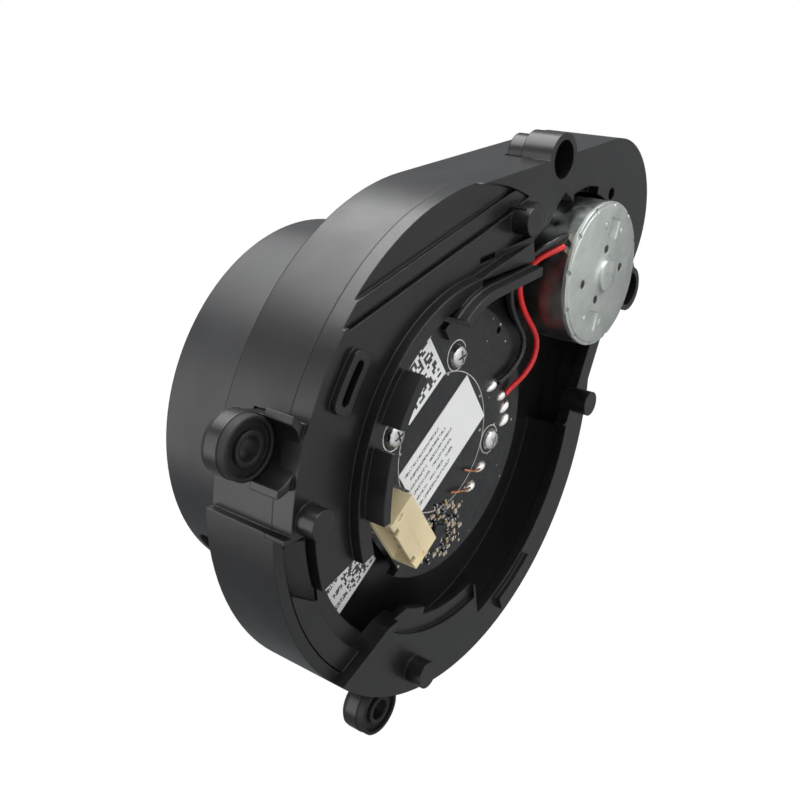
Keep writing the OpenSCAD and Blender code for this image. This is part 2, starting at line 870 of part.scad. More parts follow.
module window_cut(grow) {
    half = 18.2 + grow;
    low = 19.6 - grow;
    high = 32.2 + grow;
    corner = 2.2;
    rotate([90, 0, 90]) linear_extrude(40) {
        translate([-half, low + corner]) square([2 * half, high - low - 2 * corner]);
        translate([-half + corner, low]) square([2 * (half - corner), high - low]);
        for (sx = [-1, 1]) for (z = [low + corner, high - corner])
            translate([sx * (half - corner), z]) circle(r = corner);
    }
}

module turret_cover() {
    color("#2c2e31") {
        difference() {
            rotate_extrude() polygon([[0, drum_top], [drum_r - 0.5, drum_top], [drum_r, drum_top - 0.5],
                [drum_r, floor_z], [drum_r - drum_t, floor_z], [drum_r - drum_t, drum_top - drum_t],
                [0, drum_top - drum_t]]);
            rotate(look) window_cut(0);
        }
        // Screw pillars, each with a web to the wall
        for (a = turret_screw_angles) rotate(a) difference() {
            union() {
                rod(floor_z + floor_t, drum_top - drum_t + eps, 2.0, [turret_screw_r, 0]);
                translate([turret_screw_r, -0.8, floor_z + floor_t + eps])
                    cube([drum_r - drum_t - turret_screw_r + 0.4, 1.6, 12]);
            }
            rod(floor_z, 24, 0.98, [turret_screw_r, 0]);
        }
    }
}

module turret_window() {
    color("#120c10") rotate(look) intersection() {
        slab(18.2, drum_top - drum_t - 0.1) sector(28.0, drum_r - drum_t - 0.03, -45, 45);
        window_cut(0.9);
    }
}

module turret_screws() {
    color("#9a9c9e") turret_places()
        pan_screw([0, 0], floor_z, 1.45, 1.0, 0.96, floor_z - eps, 22, false);
}

module balance_weight() {
    color("#a98b4d") rotate(look) translate([-21.5, -5, rotor_board_z + 1.2]) cube([5.5, 10, 5]);
}

module optics_bench() {
    color("#26282b") rotate(look) difference() {
        union() {
            translate([3, -14, bench_z]) cube([7, 28, 11.6]);
            translate([3, -14, bench_z]) cube([17, 28, 0.5]);
        }
        translate([0, 6.2, lens_z]) rotate([0, 90, 0]) cylinder(h = 30, r = 4.6);
        translate([0, -8.2, lens_z]) rotate([0, 90, 0]) cylinder(h = 30, r = 2.9);
    }
}

module barrel(y, r, bore, x0, x1) {
    difference() {
        translate([x0, y, lens_z]) rotate([0, 90, 0]) cylinder(h = x1 - x0, r = r);
        translate([x0 - 1, y, lens_z]) rotate([0, 90, 0]) cylinder(h = x1 - x0 + 2, r = bore);
    }
}

module laser_barrel() {
    color("#b59a58") rotate(look) barrel(-8.2, 3.5, 2.9, 10, 21.5);
}

module receiver_barrel() {
    color("#1a1b1c") rotate(look) barrel(6.2, 5.4, 4.6, 10, 22);
}

// Plano-convex lens with its dome towards the window
module lens(y, r, x0, x1) {
    dome = 1.6 * r;
    translate([0, y, lens_z]) intersection() {
        translate([x0, 0, 0]) rotate([0, 90, 0]) cylinder(h = x1 - x0, r = r);
        translate([x1 - dome, 0, 0]) sphere(r = dome);
    }
}

module laser_lens() {
    color("#9fb4c8") rotate(look) lens(-8.2, 2.88, 18.6, 21.2);
}

module receiver_lens() {
    color("#7f93b8") rotate(look) lens(6.2, 4.58, 17.8, 21.6);
}

module image_sensor() {
    color("#33383d") rotate(look) {
        translate([1.4, 0.4, bench_z]) cube([1.6, 11.6, 11]);
        translate([3.0, 3.6, lens_z - 2.4]) cube([0.8, 5.2, 4.8]);
    }
}

lower_frame();
upper_cover();
mount_grommets();
cover_screws();
motor_can();
motor_end_cap();
motor_rivets();
motor_terminals();
motor_magnet();
motor_bush();
motor_screws();
motor_shaft();
motor_armature();
motor_pulley();
drive_belt();
main_board();
board_screws();
connector_shell();
connector_pins();
board_chips();
small_parts();
solder_joints();
coil_leads();
product_label();
code_label();
side_label();
motor_lead_red();
motor_lead_black();
index_sensor();
primary_core();
primary_coil();
data_emitter();
bearing_inner_race();
bearing_outer_race();
bearing_balls();
bearing_cage();
rotor_base();
rotor_board();
secondary_core();
secondary_coil();
data_receiver();
turret_cover();
turret_window();
turret_screws();
balance_weight();
optics_bench();
laser_barrel();
laser_lens();
receiver_barrel();
receiver_lens();
image_sensor();
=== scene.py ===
"""Looks of the lidar scanner module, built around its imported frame."""

import logging
import math
from collections.abc import Callable, Iterable, Sequence
from dataclasses import dataclass
from enum import Enum
from typing import ClassVar

import bpy
from mathutils import Matrix, Vector

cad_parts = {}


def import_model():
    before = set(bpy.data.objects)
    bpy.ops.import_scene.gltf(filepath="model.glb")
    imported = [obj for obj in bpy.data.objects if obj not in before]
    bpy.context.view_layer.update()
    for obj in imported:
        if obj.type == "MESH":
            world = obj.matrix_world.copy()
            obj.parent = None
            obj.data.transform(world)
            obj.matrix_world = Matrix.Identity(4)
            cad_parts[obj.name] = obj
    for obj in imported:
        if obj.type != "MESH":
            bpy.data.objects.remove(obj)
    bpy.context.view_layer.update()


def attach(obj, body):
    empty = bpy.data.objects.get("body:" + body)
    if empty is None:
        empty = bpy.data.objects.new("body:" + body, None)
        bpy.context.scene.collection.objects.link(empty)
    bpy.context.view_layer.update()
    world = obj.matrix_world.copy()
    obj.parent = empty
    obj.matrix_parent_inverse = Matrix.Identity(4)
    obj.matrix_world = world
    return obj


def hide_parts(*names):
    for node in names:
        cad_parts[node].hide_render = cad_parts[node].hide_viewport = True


MM = 0.001
LOG = logging.getLogger("scanner")
Spot = tuple[float, float]
Point = tuple[float, float, float]
Colour = tuple[float, float, float]
Socket = bpy.types.NodeSocket


class Body(Enum):
    """The rigid bodies that new pieces ride on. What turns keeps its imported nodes."""

    BASE = "base"


class Up(Enum):
    """Which way a turned or headed piece faces along the module's axis."""

    TOWARDS_TURRET = 1
    TOWARDS_FLOOR = -1


# ---------------------------------------------------------------- shading


class Graph:
    """Wires the shader nodes of one material."""

    def __init__(self, name: str) -> None:
        """Starts a material with only a shader and an output.

        Args:
            name: Name of the new material.
        """
        self.material = bpy.data.materials.new(name)
        self.material.use_nodes = True
        self.tree = self.material.node_tree
        self.tree.nodes.clear()
        self.shader = self.tree.nodes.new("ShaderNodeBsdfPrincipled")
        output = self.tree.nodes.new("ShaderNodeOutputMaterial")
        self.link(self.shader.outputs[0], output.inputs["Surface"])
        self.place = self.tree.nodes.new("ShaderNodeTexCoord").outputs["Object"]

    def link(self, source: Socket, target: Socket) -> None:
        """Joins an output socket to an input socket."""
        self.tree.links.new(source, target)

    def feed(self, socket: bpy.types.NodeSocket, value: object) -> None:
        """Links a socket value, or sets a plain one.

        Args:
            socket: Input to fill.
            value: An output socket, or a number, vector or colour.
        """
        if isinstance(value, Socket):
            self.link(value, socket)
        elif value is not None:
            socket.default_value = value

    def math(self, kind: str, a: object, b: object = None, c: object = None) -> Socket:
        """Adds a math node.

        Args:
            kind: The operation.
            a: First socket or number.
            b: Second one, where the operation takes it.
            c: Third one, where the operation takes it.

        Returns:
            The node's result.
        """
        made = self.tree.nodes.new("ShaderNodeMath")
        made.operation = kind
        for socket, value in zip(made.inputs, (a, b, c)):
            self.feed(socket, value)
        return made.outputs[0]

    def vector(self, kind: str, a: object, b: object = None) -> Socket:
        """Adds a vector math node.

        Args:
            kind: The operation.
            a: First socket or vector.
            b: Second one, where the operation takes it.

        Returns:
            The resulting vector, or the number for an operation that gives one.
        """
        made = self.tree.nodes.new("ShaderNodeVectorMath")
        made.operation = kind
        for socket, value in zip(made.inputs, (a, b)):
            self.feed(socket, value)
        return made.outputs["Value" if kind in ("LENGTH", "DOT_PRODUCT", "DISTANCE") else "Vector"]

    def ramp(
        self, value: object, low: float, high: float, to_low: float = 0.0, to_high: float = 1.0
    ) -> Socket:
        """Maps a value smoothly and clamped from one range to another.

        Args:
            value: Socket or number to map.
            low: Start of its range.
            high: End of its range.
            to_low: Result at the start.
            to_high: Result at the end.

        Returns:
            The mapped value.
        """
        made = self.tree.nodes.new("ShaderNodeMapRange")
        made.interpolation_type = "SMOOTHSTEP"
        limits = {"From Min": low, "From Max": high, "To Min": to_low, "To Max": to_high}
        for name, number in limits.items():
            made.inputs[name].default_value = number
        self.feed(made.inputs["Value"], value)
        return made.outputs[0]

    def noise(self, per_mm: float, detail: float = 3.0, stretch: Point = (1.0, 1.0, 1.0)) -> Socket:
        """Adds noise in the piece's own frame.

        Args:
            per_mm: Waves for each millimetre.
            detail: Octaves of finer noise.
            stretch: Factor on each axis of the pattern.

        Returns:
            The noise value.
        """
        mapping = self.tree.nodes.new("ShaderNodeMapping")
        mapping.inputs["Scale"].default_value = stretch
        self.link(self.place, mapping.inputs["Vector"])
        made = self.tree.nodes.new("ShaderNodeTexNoise")
        made.inputs["Scale"].default_value = per_mm / MM
        made.inputs["Detail"].default_value = detail
        self.link(mapping.outputs[0], made.inputs["Vector"])
        return made.outputs["Fac"]

    def mix(self, factor: object, a: object, b: object) -> Socket:
        """Mixes two colours.

        Args:
            factor: Share of the second colour.
            a: First colour.
            b: Second colour.

        Returns:
            The mixed colour.
        """
        made = self.tree.nodes.new("ShaderNodeMix")
        made.data_type = "RGBA"
        self.feed(made.inputs[0], factor)
        self.feed(made.inputs[6], (*a, 1.0) if isinstance(a, tuple) else a)
        self.feed(made.inputs[7], (*b, 1.0) if isinstance(b, tuple) else b)
        return made.outputs[2]

    def split(self) -> list[Socket]:
        """Returns the x, y and z of the place on the piece."""
        made = self.tree.nodes.new("ShaderNodeSeparateXYZ")
        self.link(self.place, made.inputs[0])
        return list(made.outputs)

    def soft_edges(self, radius_mm: float) -> tuple[Socket, Socket]:
        """Rounds the edges in the shading.

        Args:
            radius_mm: Radius of the rounding.

        Returns:
            The rounded normal, and a mask that is 1 along the edges.
        """
        made = self.tree.nodes.new("ShaderNodeBevel")
        made.samples = 6
        made.inputs["Radius"].default_value = radius_mm * MM
        geometry = self.tree.nodes.new("ShaderNodeNewGeometry")
        likeness = self.vector("DOT_PRODUCT", made.outputs[0], geometry.outputs["Normal"])
        return made.outputs[0], self.ramp(likeness, 0.995, 0.85, 0.0, 1.0)

    def bump(self, height: object, depth_mm: float, normal: object = None) -> Socket:
        """Turns a height pattern into a normal.

        Args:
            height: Pattern from 0 to 1.
            depth_mm: Depth of the pattern.
            normal: Normal to add it to.

        Returns:
            The bumped normal.
        """
        made = self.tree.nodes.new("ShaderNodeBump")
        made.inputs["Strength"].default_value = 1.0
        made.inputs["Distance"].default_value = depth_mm * MM
        self.feed(made.inputs["Height"], height)
        self.feed(made.inputs["Normal"], normal)
        return made.outputs[0]


@dataclass(frozen=True)
class Finish:
    """What every finish shares.

    Attributes:
        name: Name of the material.
        colour: Main colour.
        rough: Middle roughness.
    """

    name: str
    colour: Colour
    rough: float = 0.4

    def dress(self, graph: Graph) -> None:
        """Wires the finish. Each kind of finish has its own."""
        raise NotImplementedError

    def material(self) -> bpy.types.Material:
        """Makes the finish's material the first time it is asked for.

        Returns:
            The material.
        """
        known = bpy.data.materials.get(self.name)
        if known:
            return known
        graph = Graph(self.name)
        self.dress(graph)
        return graph.material


@dataclass(frozen=True)
class MouldedPlastic(Finish):
    """Moulded plastic with a fine grain, flow marks and paler rubbed edges.

    Attributes:
        grain_mm: Depth of the grain.
        edge_mm: Radius of the moulded edges.
        shine: Specular level.
        rub: How much paler the edges are.
        flow: How much the flow marks vary the colour and the gloss.
    """

    flow: float = 0.1
    grain_mm: float = 0.004
    edge_mm: float = 0.28
    shine: float = 0.4
    rub: float = 0.5

    def dress(self, graph: Graph) -> None:
        """Wires grain, flow marks and rubbed edges."""
        normal, edge = graph.soft_edges(self.edge_mm)
        cloud = graph.noise(0.05, 4)
        speck = graph.noise(3.5, 2)
        dark = tuple(c * (1 - self.flow) for c in self.colour)
        pale = tuple(c * (1 + self.flow) for c in self.colour)
        worn = tuple(c * (1 + 2.2 * self.rub) + 0.012 * self.rub for c in self.colour)
        base = graph.mix(graph.ramp(cloud, 0.35, 0.68), dark, pale)
        patchy = graph.ramp(graph.noise(0.4, 3), 0.35, 0.75, 0.1, 0.8)
        base = graph.mix(graph.math("MULTIPLY", edge, patchy), base, worn)
        graph.feed(graph.shader.inputs["Base Color"], base)
        swing = 0.35 * self.flow
        rough = graph.ramp(graph.noise(0.12, 5), 0.3, 0.7, self.rough - swing, self.rough + swing)
        rough = graph.math("ADD", rough, graph.ramp(speck, 0.3, 0.7, -0.02, 0.03))
        graph.feed(graph.shader.inputs["Roughness"], rough)
        graph.shader.inputs["Specular IOR Level"].default_value = self.shine
        graph.feed(graph.shader.inputs["Normal"], graph.bump(speck, self.grain_mm, normal))


@dataclass(frozen=True)
class PlatedMetal(Finish):
    """Plated or bright metal with faint mottling, fine scratches and bright edges.

    Attributes:
        drag: Stretch of the fine scratches on each axis.
        mottle: Share by which the colour varies.
        edge_mm: Radius of the edges.
        metal: Metallic level.
    """

    drag: Point = (1.0, 1.0, 1.0)
    mottle: float = 0.12
    edge_mm: float = 0.12
    metal: float = 1.0

    def dress(self, graph: Graph) -> None:
        """Wires mottling, scratches and bright edges."""
        normal, edge = graph.soft_edges(self.edge_mm)
        cloud = graph.noise(0.35, 6)
        fine = graph.noise(6.0, 2, self.drag)
        dark = tuple(c * (1 - self.mottle) for c in self.colour)
        pale = tuple(min(c * (1 + self.mottle), 1.0) for c in self.colour)
        base = graph.mix(graph.ramp(cloud, 0.35, 0.65), dark, pale)
        bright = tuple(min(c * 1.25 + 0.05, 1.0) for c in self.colour)
        base = graph.mix(graph.math("MULTIPLY", edge, 0.6), base, bright)
        graph.feed(graph.shader.inputs["Base Color"], base)
        graph.shader.inputs["Metallic"].default_value = self.metal
        rough = graph.ramp(graph.noise(0.8, 5), 0.3, 0.7, self.rough - 0.06, self.rough + 0.08)
        graph.feed(graph.shader.inputs["Roughness"], rough)
        graph.feed(graph.shader.inputs["Normal"], graph.bump(fine, 0.003, normal))


@dataclass(frozen=True)
class ClearPlastic(Finish):
    """Glossy tinted plastic or glass.

    Attributes:
        clear: Transmission, from 0 to 1.
    """

    clear: float = 0.0

    def dress(self, graph: Graph) -> None:
        """Wires a slight haze and fine dust."""
        dust = graph.noise(2.5, 4)
        dark = tuple(c * 0.9 for c in self.colour)
        graph.feed(graph.shader.inputs["Base Color"], graph.mix(dust, dark, self.colour))
        rough = graph.ramp(dust, 0.3, 0.8, self.rough, self.rough + 0.08)
        graph.feed(graph.shader.inputs["Roughness"], rough)
        graph.shader.inputs["Transmission Weight"].default_value = self.clear
        graph.shader.inputs["Coat Weight"].default_value = 0.3
        graph.feed(graph.shader.inputs["Normal"], graph.bump(graph.noise(0.3, 2), 0.002))


@dataclass(frozen=True)
class WoundWire(Finish):
    """Enamelled wire wound around the module's axis or the motor's.

    Attributes:
        turn_mm: Width of one turn.
    """

    turn_mm: float = 0.25

    def dress(self, graph: Graph) -> None:
        """Wires the rings of the winding."""
        wave = graph.tree.nodes.new("ShaderNodeTexWave")
        wave.wave_type = "BANDS"
        wave.bands_direction = "Z"
        wave.inputs["Scale"].default_value = 0.32 / (self.turn_mm * MM)
        wave.inputs["Distortion"].default_value = 0.6
        graph.link(graph.place, wave.inputs["Vector"])
        dark = tuple(c * 0.5 for c in self.colour)
        graph.feed(graph.shader.inputs["Base Color"], graph.mix(wave.outputs["Fac"], dark, self.colour))
        graph.shader.inputs["Metallic"].default_value = 0.85
        rough = graph.ramp(graph.noise(1.0), 0.3, 0.7, self.rough, self.rough + 0.1)
        graph.feed(graph.shader.inputs["Roughness"], rough)
        graph.feed(graph.shader.inputs["Normal"], graph.bump(wave.outputs["Fac"], 0.04))


@dataclass(frozen=True)
class SolderMask(Finish):
    """Glossy solder mask over faint copper traces, with plated vias.

    Attributes:
        ring_mm: Radius of the printed ring, or 0 for none.
    """

    ring_mm: float = 0.0

    def dress(self, graph: Graph) -> None:
        """Wires the mask's colour, gloss and relief."""
        trace = self.traces(graph)
        dark = tuple(c * 0.8 for c in self.colour)
        copper = tuple(c * 1.9 + 0.004 for c in self.colour)
        base = graph.mix(graph.ramp(graph.noise(0.2, 3), 0.3, 0.7), dark, self.colour)
        base = graph.mix(graph.math("MULTIPLY", trace, 0.8), base, copper)
        base = graph.mix(self.vias(graph), base, (0.46, 0.44, 0.36))
        if self.ring_mm:
            base = graph.mix(self.ring(graph), base, (0.50, 0.50, 0.49))
        graph.feed(graph.shader.inputs["Base Color"], base)
        rough = graph.ramp(graph.noise(0.9, 4), 0.3, 0.7, self.rough, self.rough + 0.12)
        graph.feed(graph.shader.inputs["Roughness"], rough)
        graph.shader.inputs["Specular IOR Level"].default_value = 0.45
        raised = graph.math("ADD", trace, graph.math("MULTIPLY", graph.noise(2.0), 0.08))
        graph.feed(graph.shader.inputs["Normal"], graph.bump(raised, 0.008))

    def traces(self, graph: Graph) -> Socket:
        """Lays slanted traces over parts of the board.

        Args:
            graph: The material's graph.

        Returns:
            A mask that is 1 on a trace.
        """
        turned = graph.tree.nodes.new("ShaderNodeMapping")
        turned.inputs["Rotation"].default_value = (0.0, 0.0, math.radians(31))
        graph.link(graph.place, turned.inputs["Vector"])
        brick = graph.tree.nodes.new("ShaderNodeTexBrick")
        brick.inputs["Scale"].default_value = 1 / (1.3 * MM)
        brick.inputs["Mortar Size"].default_value = 0.035
        brick.inputs["Brick Width"].default_value = 2.6
        brick.inputs["Row Height"].default_value = 0.55
        brick.offset = 0.37
        graph.link(turned.outputs[0], brick.inputs["Vector"])
        region = graph.ramp(graph.noise(0.16, 1), 0.47, 0.53)
        return graph.math("MULTIPLY", brick.outputs["Fac"], region)

    def vias(self, graph: Graph) -> Socket:
        """Scatters plated vias over parts of the board.

        Args:
            graph: The material's graph.

        Returns:
            A mask that is 1 on a via.
        """
        cells = graph.tree.nodes.new("ShaderNodeTexVoronoi")
        cells.inputs["Scale"].default_value = 1 / (1.9 * MM)
        graph.link(graph.place, cells.inputs["Vector"])
        via = graph.ramp(cells.outputs["Distance"], 0.16, 0.11)
        return graph.math("MULTIPLY", via, graph.ramp(graph.noise(0.3, 1), 0.5, 0.56))

    def ring(self, graph: Graph) -> Socket:
        """Draws the printed ring around the module's axis.

        Args:
            graph: The material's graph.

        Returns:
            A mask that is 1 on the ring.
        """
        x, y, _ = graph.split()
        squares = graph.math("ADD", graph.math("MULTIPLY", x, x), graph.math("MULTIPLY", y, y))
        away = graph.math("SQRT", squares)
        off = graph.math("ABSOLUTE", graph.math("SUBTRACT", away, self.ring_mm * MM))
        return graph.ramp(off, 0.10 * MM, 0.06 * MM)


class Print(Enum):
    """What a sticker is printed with."""

    LINES = "lines"
    BLOCKS = "blocks"
    BOTH = "both"


@dataclass(frozen=True)
class Sticker(Finish):
    """White sticker printed with meaningless marks.

    Attributes:
        corner: Lowest corner of the sticker, in millimetres.
        size: Length along X and width along Y, in millimetres.
        kind: Kind of marks.
        rows: Rows of marks across the sticker.
        ink: Colour of the marks.
        reach: Least share of the length that a row covers, and how much that varies.
        cells: Cells along each side of the block code.
        margin: Share of the width left blank on each side.
        printed: Share of the width that is printed.
    """

    corner: Spot = (0.0, 0.0)
    size: Spot = (10.0, 5.0)
    kind: Print = Print.LINES
    rows: int = 4
    ink: Colour = (0.03, 0.03, 0.035)
    reach: Spot = (0.5, 0.45)

    cells: ClassVar[int] = 17
    margin: ClassVar[float] = 0.08
    printed: ClassVar[float] = 0.84

    def dress(self, graph: Graph) -> None:
        """Wires paper fibres and the printed marks."""
        x, y, _ = graph.split()
        along = graph.math("DIVIDE", graph.math("SUBTRACT", x, self.corner[0] * MM), self.size[0] * MM)
        across = graph.math("DIVIDE", graph.math("SUBTRACT", y, self.corner[1] * MM), self.size[1] * MM)
        ink = self.marks(graph, along, across)
        fibre = graph.noise(1.2, 5)
        paper = graph.mix(fibre, tuple(c * 0.93 for c in self.colour), self.colour)
        graph.feed(graph.shader.inputs["Base Color"], graph.mix(ink, paper, self.ink))
        rough = graph.ramp(fibre, 0.3, 0.7, self.rough, self.rough + 0.1)
        graph.feed(graph.shader.inputs["Roughness"], rough)
        graph.feed(graph.shader.inputs["Normal"], graph.bump(fibre, 0.006))

    def marks(self, graph: Graph, along: object, across: object) -> Socket:
        """Builds the ink mask.

        Args:
            graph: The material's graph.
            along: Place along the rows, from 0 to 1.
            across: Place across the rows, from 0 to 1.

        Returns:
            A mask that is 1 where there is ink.
        """
        length, width = self.size
        lines = self.text_rows(graph, along, across)
        if self.kind is Print.LINES:
            return lines
        share = min(width / length, 1.0) if self.kind is Print.BOTH else 1.0
        start = 1.0 - share * (1.0 - self.margin)
        u = graph.math("DIVIDE", graph.math("SUBTRACT", along, start), share * self.printed)
        v = graph.math("DIVIDE", graph.math("SUBTRACT", across, self.margin), self.printed)
        line = graph.math("FLOOR", graph.math("MULTIPLY", v, float(self.cells)))
        random = self.grid_noise(graph, u, line, self.cells, self.cells * 1.7, 0.0)
        code = graph.math("MULTIPLY", graph.math("LESS_THAN", random, 0.5), self.window(graph, u, v))
        if self.kind is Print.BLOCKS:
            return code
        text = graph.math("MULTIPLY", lines, graph.math("LESS_THAN", along, start - 0.03))
        return graph.math("MAXIMUM", code, text)

    def window(self, graph: Graph, u: object, v: object) -> Socket:
        """Marks the unit square.

        Args:
            graph: The material's graph.
            u: Place along the square.
            v: Place across the square.

        Returns:
            A mask that is 1 inside the square.
        """
        low = graph.math("MULTIPLY", graph.math("GREATER_THAN", u, 0.0), graph.math("GREATER_THAN", v, 0.0))
        high = graph.math("MULTIPLY", graph.math("LESS_THAN", u, 1.0), graph.math("LESS_THAN", v, 1.0))
        return graph.math("MULTIPLY", low, high)

    def text_rows(self, graph: Graph, along: object, across: object) -> Socket:
        """Lays rows of small upright strokes in word-like groups.

        Args:
            graph: The material's graph.
            along: Place along the rows, from 0 to 1.
            across: Place across the rows, from 0 to 1.

        Returns:
            A mask that is 1 where there is ink.
        """
        length = self.size[0]
        v = graph.math("MULTIPLY", graph.math("SUBTRACT", across, self.margin), self.rows / self.printed)
        row = graph.math("FLOOR", v)
        part = graph.math("FRACT", v)
        below = graph.math("LESS_THAN", part, 0.70)
        tall = graph.math("MULTIPLY", graph.math("GREATER_THAN", part, 0.30), below)
        slice_of_row = graph.math("FLOOR", graph.math("MULTIPLY", part, 8.0))
        fine = self.grid_noise(graph, along, row, length / 0.17, slice_of_row, 0.0)
        word = self.grid_noise(graph, along, row, length / 0.8, 0.0, 3.0)
        end = self.grid_noise(graph, 0.0, row, 1.0, 0.0, 9.0)
        reach = graph.math("MULTIPLY_ADD", end, self.reach[1], self.reach[0])
        in_word = graph.math("GREATER_THAN", word, 0.12)
        on = graph.math("MULTIPLY", graph.math("LESS_THAN", fine, 0.62), in_word)
        on = graph.math("MULTIPLY", on, tall)
        on = graph.math("MULTIPLY", on, graph.math("LESS_THAN", along, reach))
        last = graph.math("LESS_THAN", v, float(self.rows))
        rows = graph.math("MULTIPLY", graph.math("GREATER_THAN", v, 0.0), last)
        on = graph.math("MULTIPLY", on, rows)
        return graph.math("MULTIPLY", on, graph.math("GREATER_THAN", along, 0.04))

    def grid_noise(
        self, graph: Graph, along: object, row: object, columns: float, third: object, seed: float
    ) -> Socket:
        """Draws one random number for each cell of a row.

        Args:
            graph: The material's graph.
            along: Place along the row, from 0 to 1.
            row: Number of the row.
            columns: Cells in the row.
            third: A further number that changes the draw.
            seed: Added to the row, so that two patterns differ.

        Returns:
            The random number, from 0 to 1.
        """
        made = graph.tree.nodes.new("ShaderNodeCombineXYZ")
        graph.feed(made.inputs[0], graph.math("FLOOR", graph.math("MULTIPLY", along, float(columns))))
        graph.feed(made.inputs[1], graph.math("ADD", row, seed))
        graph.feed(made.inputs[2], third)
        speck = graph.tree.nodes.new("ShaderNodeTexWhiteNoise")
        speck.noise_dimensions = "3D"
        graph.link(made.outputs[0], speck.inputs["Vector"])
        return speck.outputs["Value"]


BLACK_SHELL = MouldedPlastic("black_shell", (0.0065, 0.0067, 0.0072), 0.36, shine=0.42)
BLACK_FRAME = MouldedPlastic("black_frame", (0.0065, 0.0067, 0.0072), 0.33, shine=0.42)
GREY_DRUM = MouldedPlastic("grey_drum", (0.016, 0.0165, 0.0175), 0.40, shine=0.4, edge_mm=0.4)
CREAM_NYLON = MouldedPlastic(
    "cream_nylon", (0.74, 0.62, 0.38), 0.38, grain_mm=0.002, edge_mm=0.12, shine=0.5, rub=0.1
)
CHIP_EPOXY = MouldedPlastic("chip_epoxy", (0.012, 0.012, 0.013), 0.45, grain_mm=0.006, edge_mm=0.05, rub=0.4)
CHIP_GOLD = PlatedMetal("chip_gold", (0.62, 0.44, 0.16), 0.3, edge_mm=0.03)
CHIP_TAN = MouldedPlastic("chip_tan", (0.30, 0.21, 0.12), 0.4, grain_mm=0.002, edge_mm=0.04, rub=0.1)
SOFT_RUBBER = MouldedPlastic("soft_rubber", (0.010, 0.010, 0.0105), 0.58, grain_mm=0.008, shine=0.3, rub=0.8)
RED_VINYL = MouldedPlastic(
    "red_vinyl", (0.62, 0.010, 0.012), 0.28, grain_mm=0.001, edge_mm=0.02, shine=0.55, rub=0.1
)
BLACK_VINYL = MouldedPlastic(
    "black_vinyl", (0.010, 0.010, 0.011), 0.26, grain_mm=0.001, edge_mm=0.02, shine=0.5, rub=0.2
)
BARREL_BLACK = MouldedPlastic("barrel_black", (0.010, 0.010, 0.011), 0.5)
FERRITE = MouldedPlastic("sintered_ferrite", (0.035, 0.033, 0.032), 0.55, grain_mm=0.01)
PALE_PLATE = PlatedMetal("pale_plate", (0.50, 0.53, 0.50), 0.42, metal=0.82, mottle=0.06)
NICKEL_PLATE = PlatedMetal("nickel_plate", (0.30, 0.32, 0.31), 0.34, drag=(0.15, 0.15, 3.0))
BRIGHT_STEEL = PlatedMetal("bright_steel", (0.62, 0.62, 0.61), 0.24)
BRASS = PlatedMetal("turned_brass", (0.72, 0.53, 0.24), 0.28)
DULL_TIN = PlatedMetal("dull_tin", (0.42, 0.39, 0.33), 0.4, edge_mm=0.05)
TIN = PlatedMetal("bright_tin", (0.74, 0.73, 0.70), 0.26, edge_mm=0.05)
CAST_ALLOY = PlatedMetal("cast_alloy", (0.30, 0.30, 0.31), 0.45, mottle=0.2)
COPPER_WIRE = WoundWire("copper_winding", (0.60, 0.26, 0.12), 0.32)
COPPER_LEAD = PlatedMetal("copper_lead", (0.62, 0.27, 0.13), 0.3)
BLACK_MASK = SolderMask("black_mask", (0.006, 0.0065, 0.0072), 0.3, ring_mm=11.5)
GREEN_MASK = SolderMask("green_mask", (0.010, 0.075, 0.030), 0.24)
DARK_WINDOW = ClearPlastic("dark_window", (0.010, 0.004, 0.012), 0.08)
CLEAR_EPOXY = ClearPlastic("clear_epoxy", (0.16, 0.14, 0.30), 0.1, clear=0.3)
LENS_GLASS = ClearPlastic("lens_glass", (0.85, 0.9, 0.97), 0.02, clear=0.9)
WHITE_PAPER = (0.86, 0.86, 0.85)
MODULE_STICKER = Sticker(
    "module_sticker", WHITE_PAPER, corner=(-10.5, -4.9), size=(20.6, 10.4), rows=6, ink=(0.16, 0.16, 0.17),
    reach=(0.42, 0.22),
)
CODE_STICKER = Sticker("code_sticker", WHITE_PAPER, corner=(-4.4, -19.4), size=(10.7, 9.4), kind=Print.BLOCKS)
SIDE_STICKER = Sticker(
    "side_sticker", WHITE_PAPER, corner=(-30.3, 0.6), size=(11.2, 7.5), kind=Print.BOTH, rows=3,
    ink=(0.05, 0.05, 0.055),
)


# ---------------------------------------------------------------- modelling


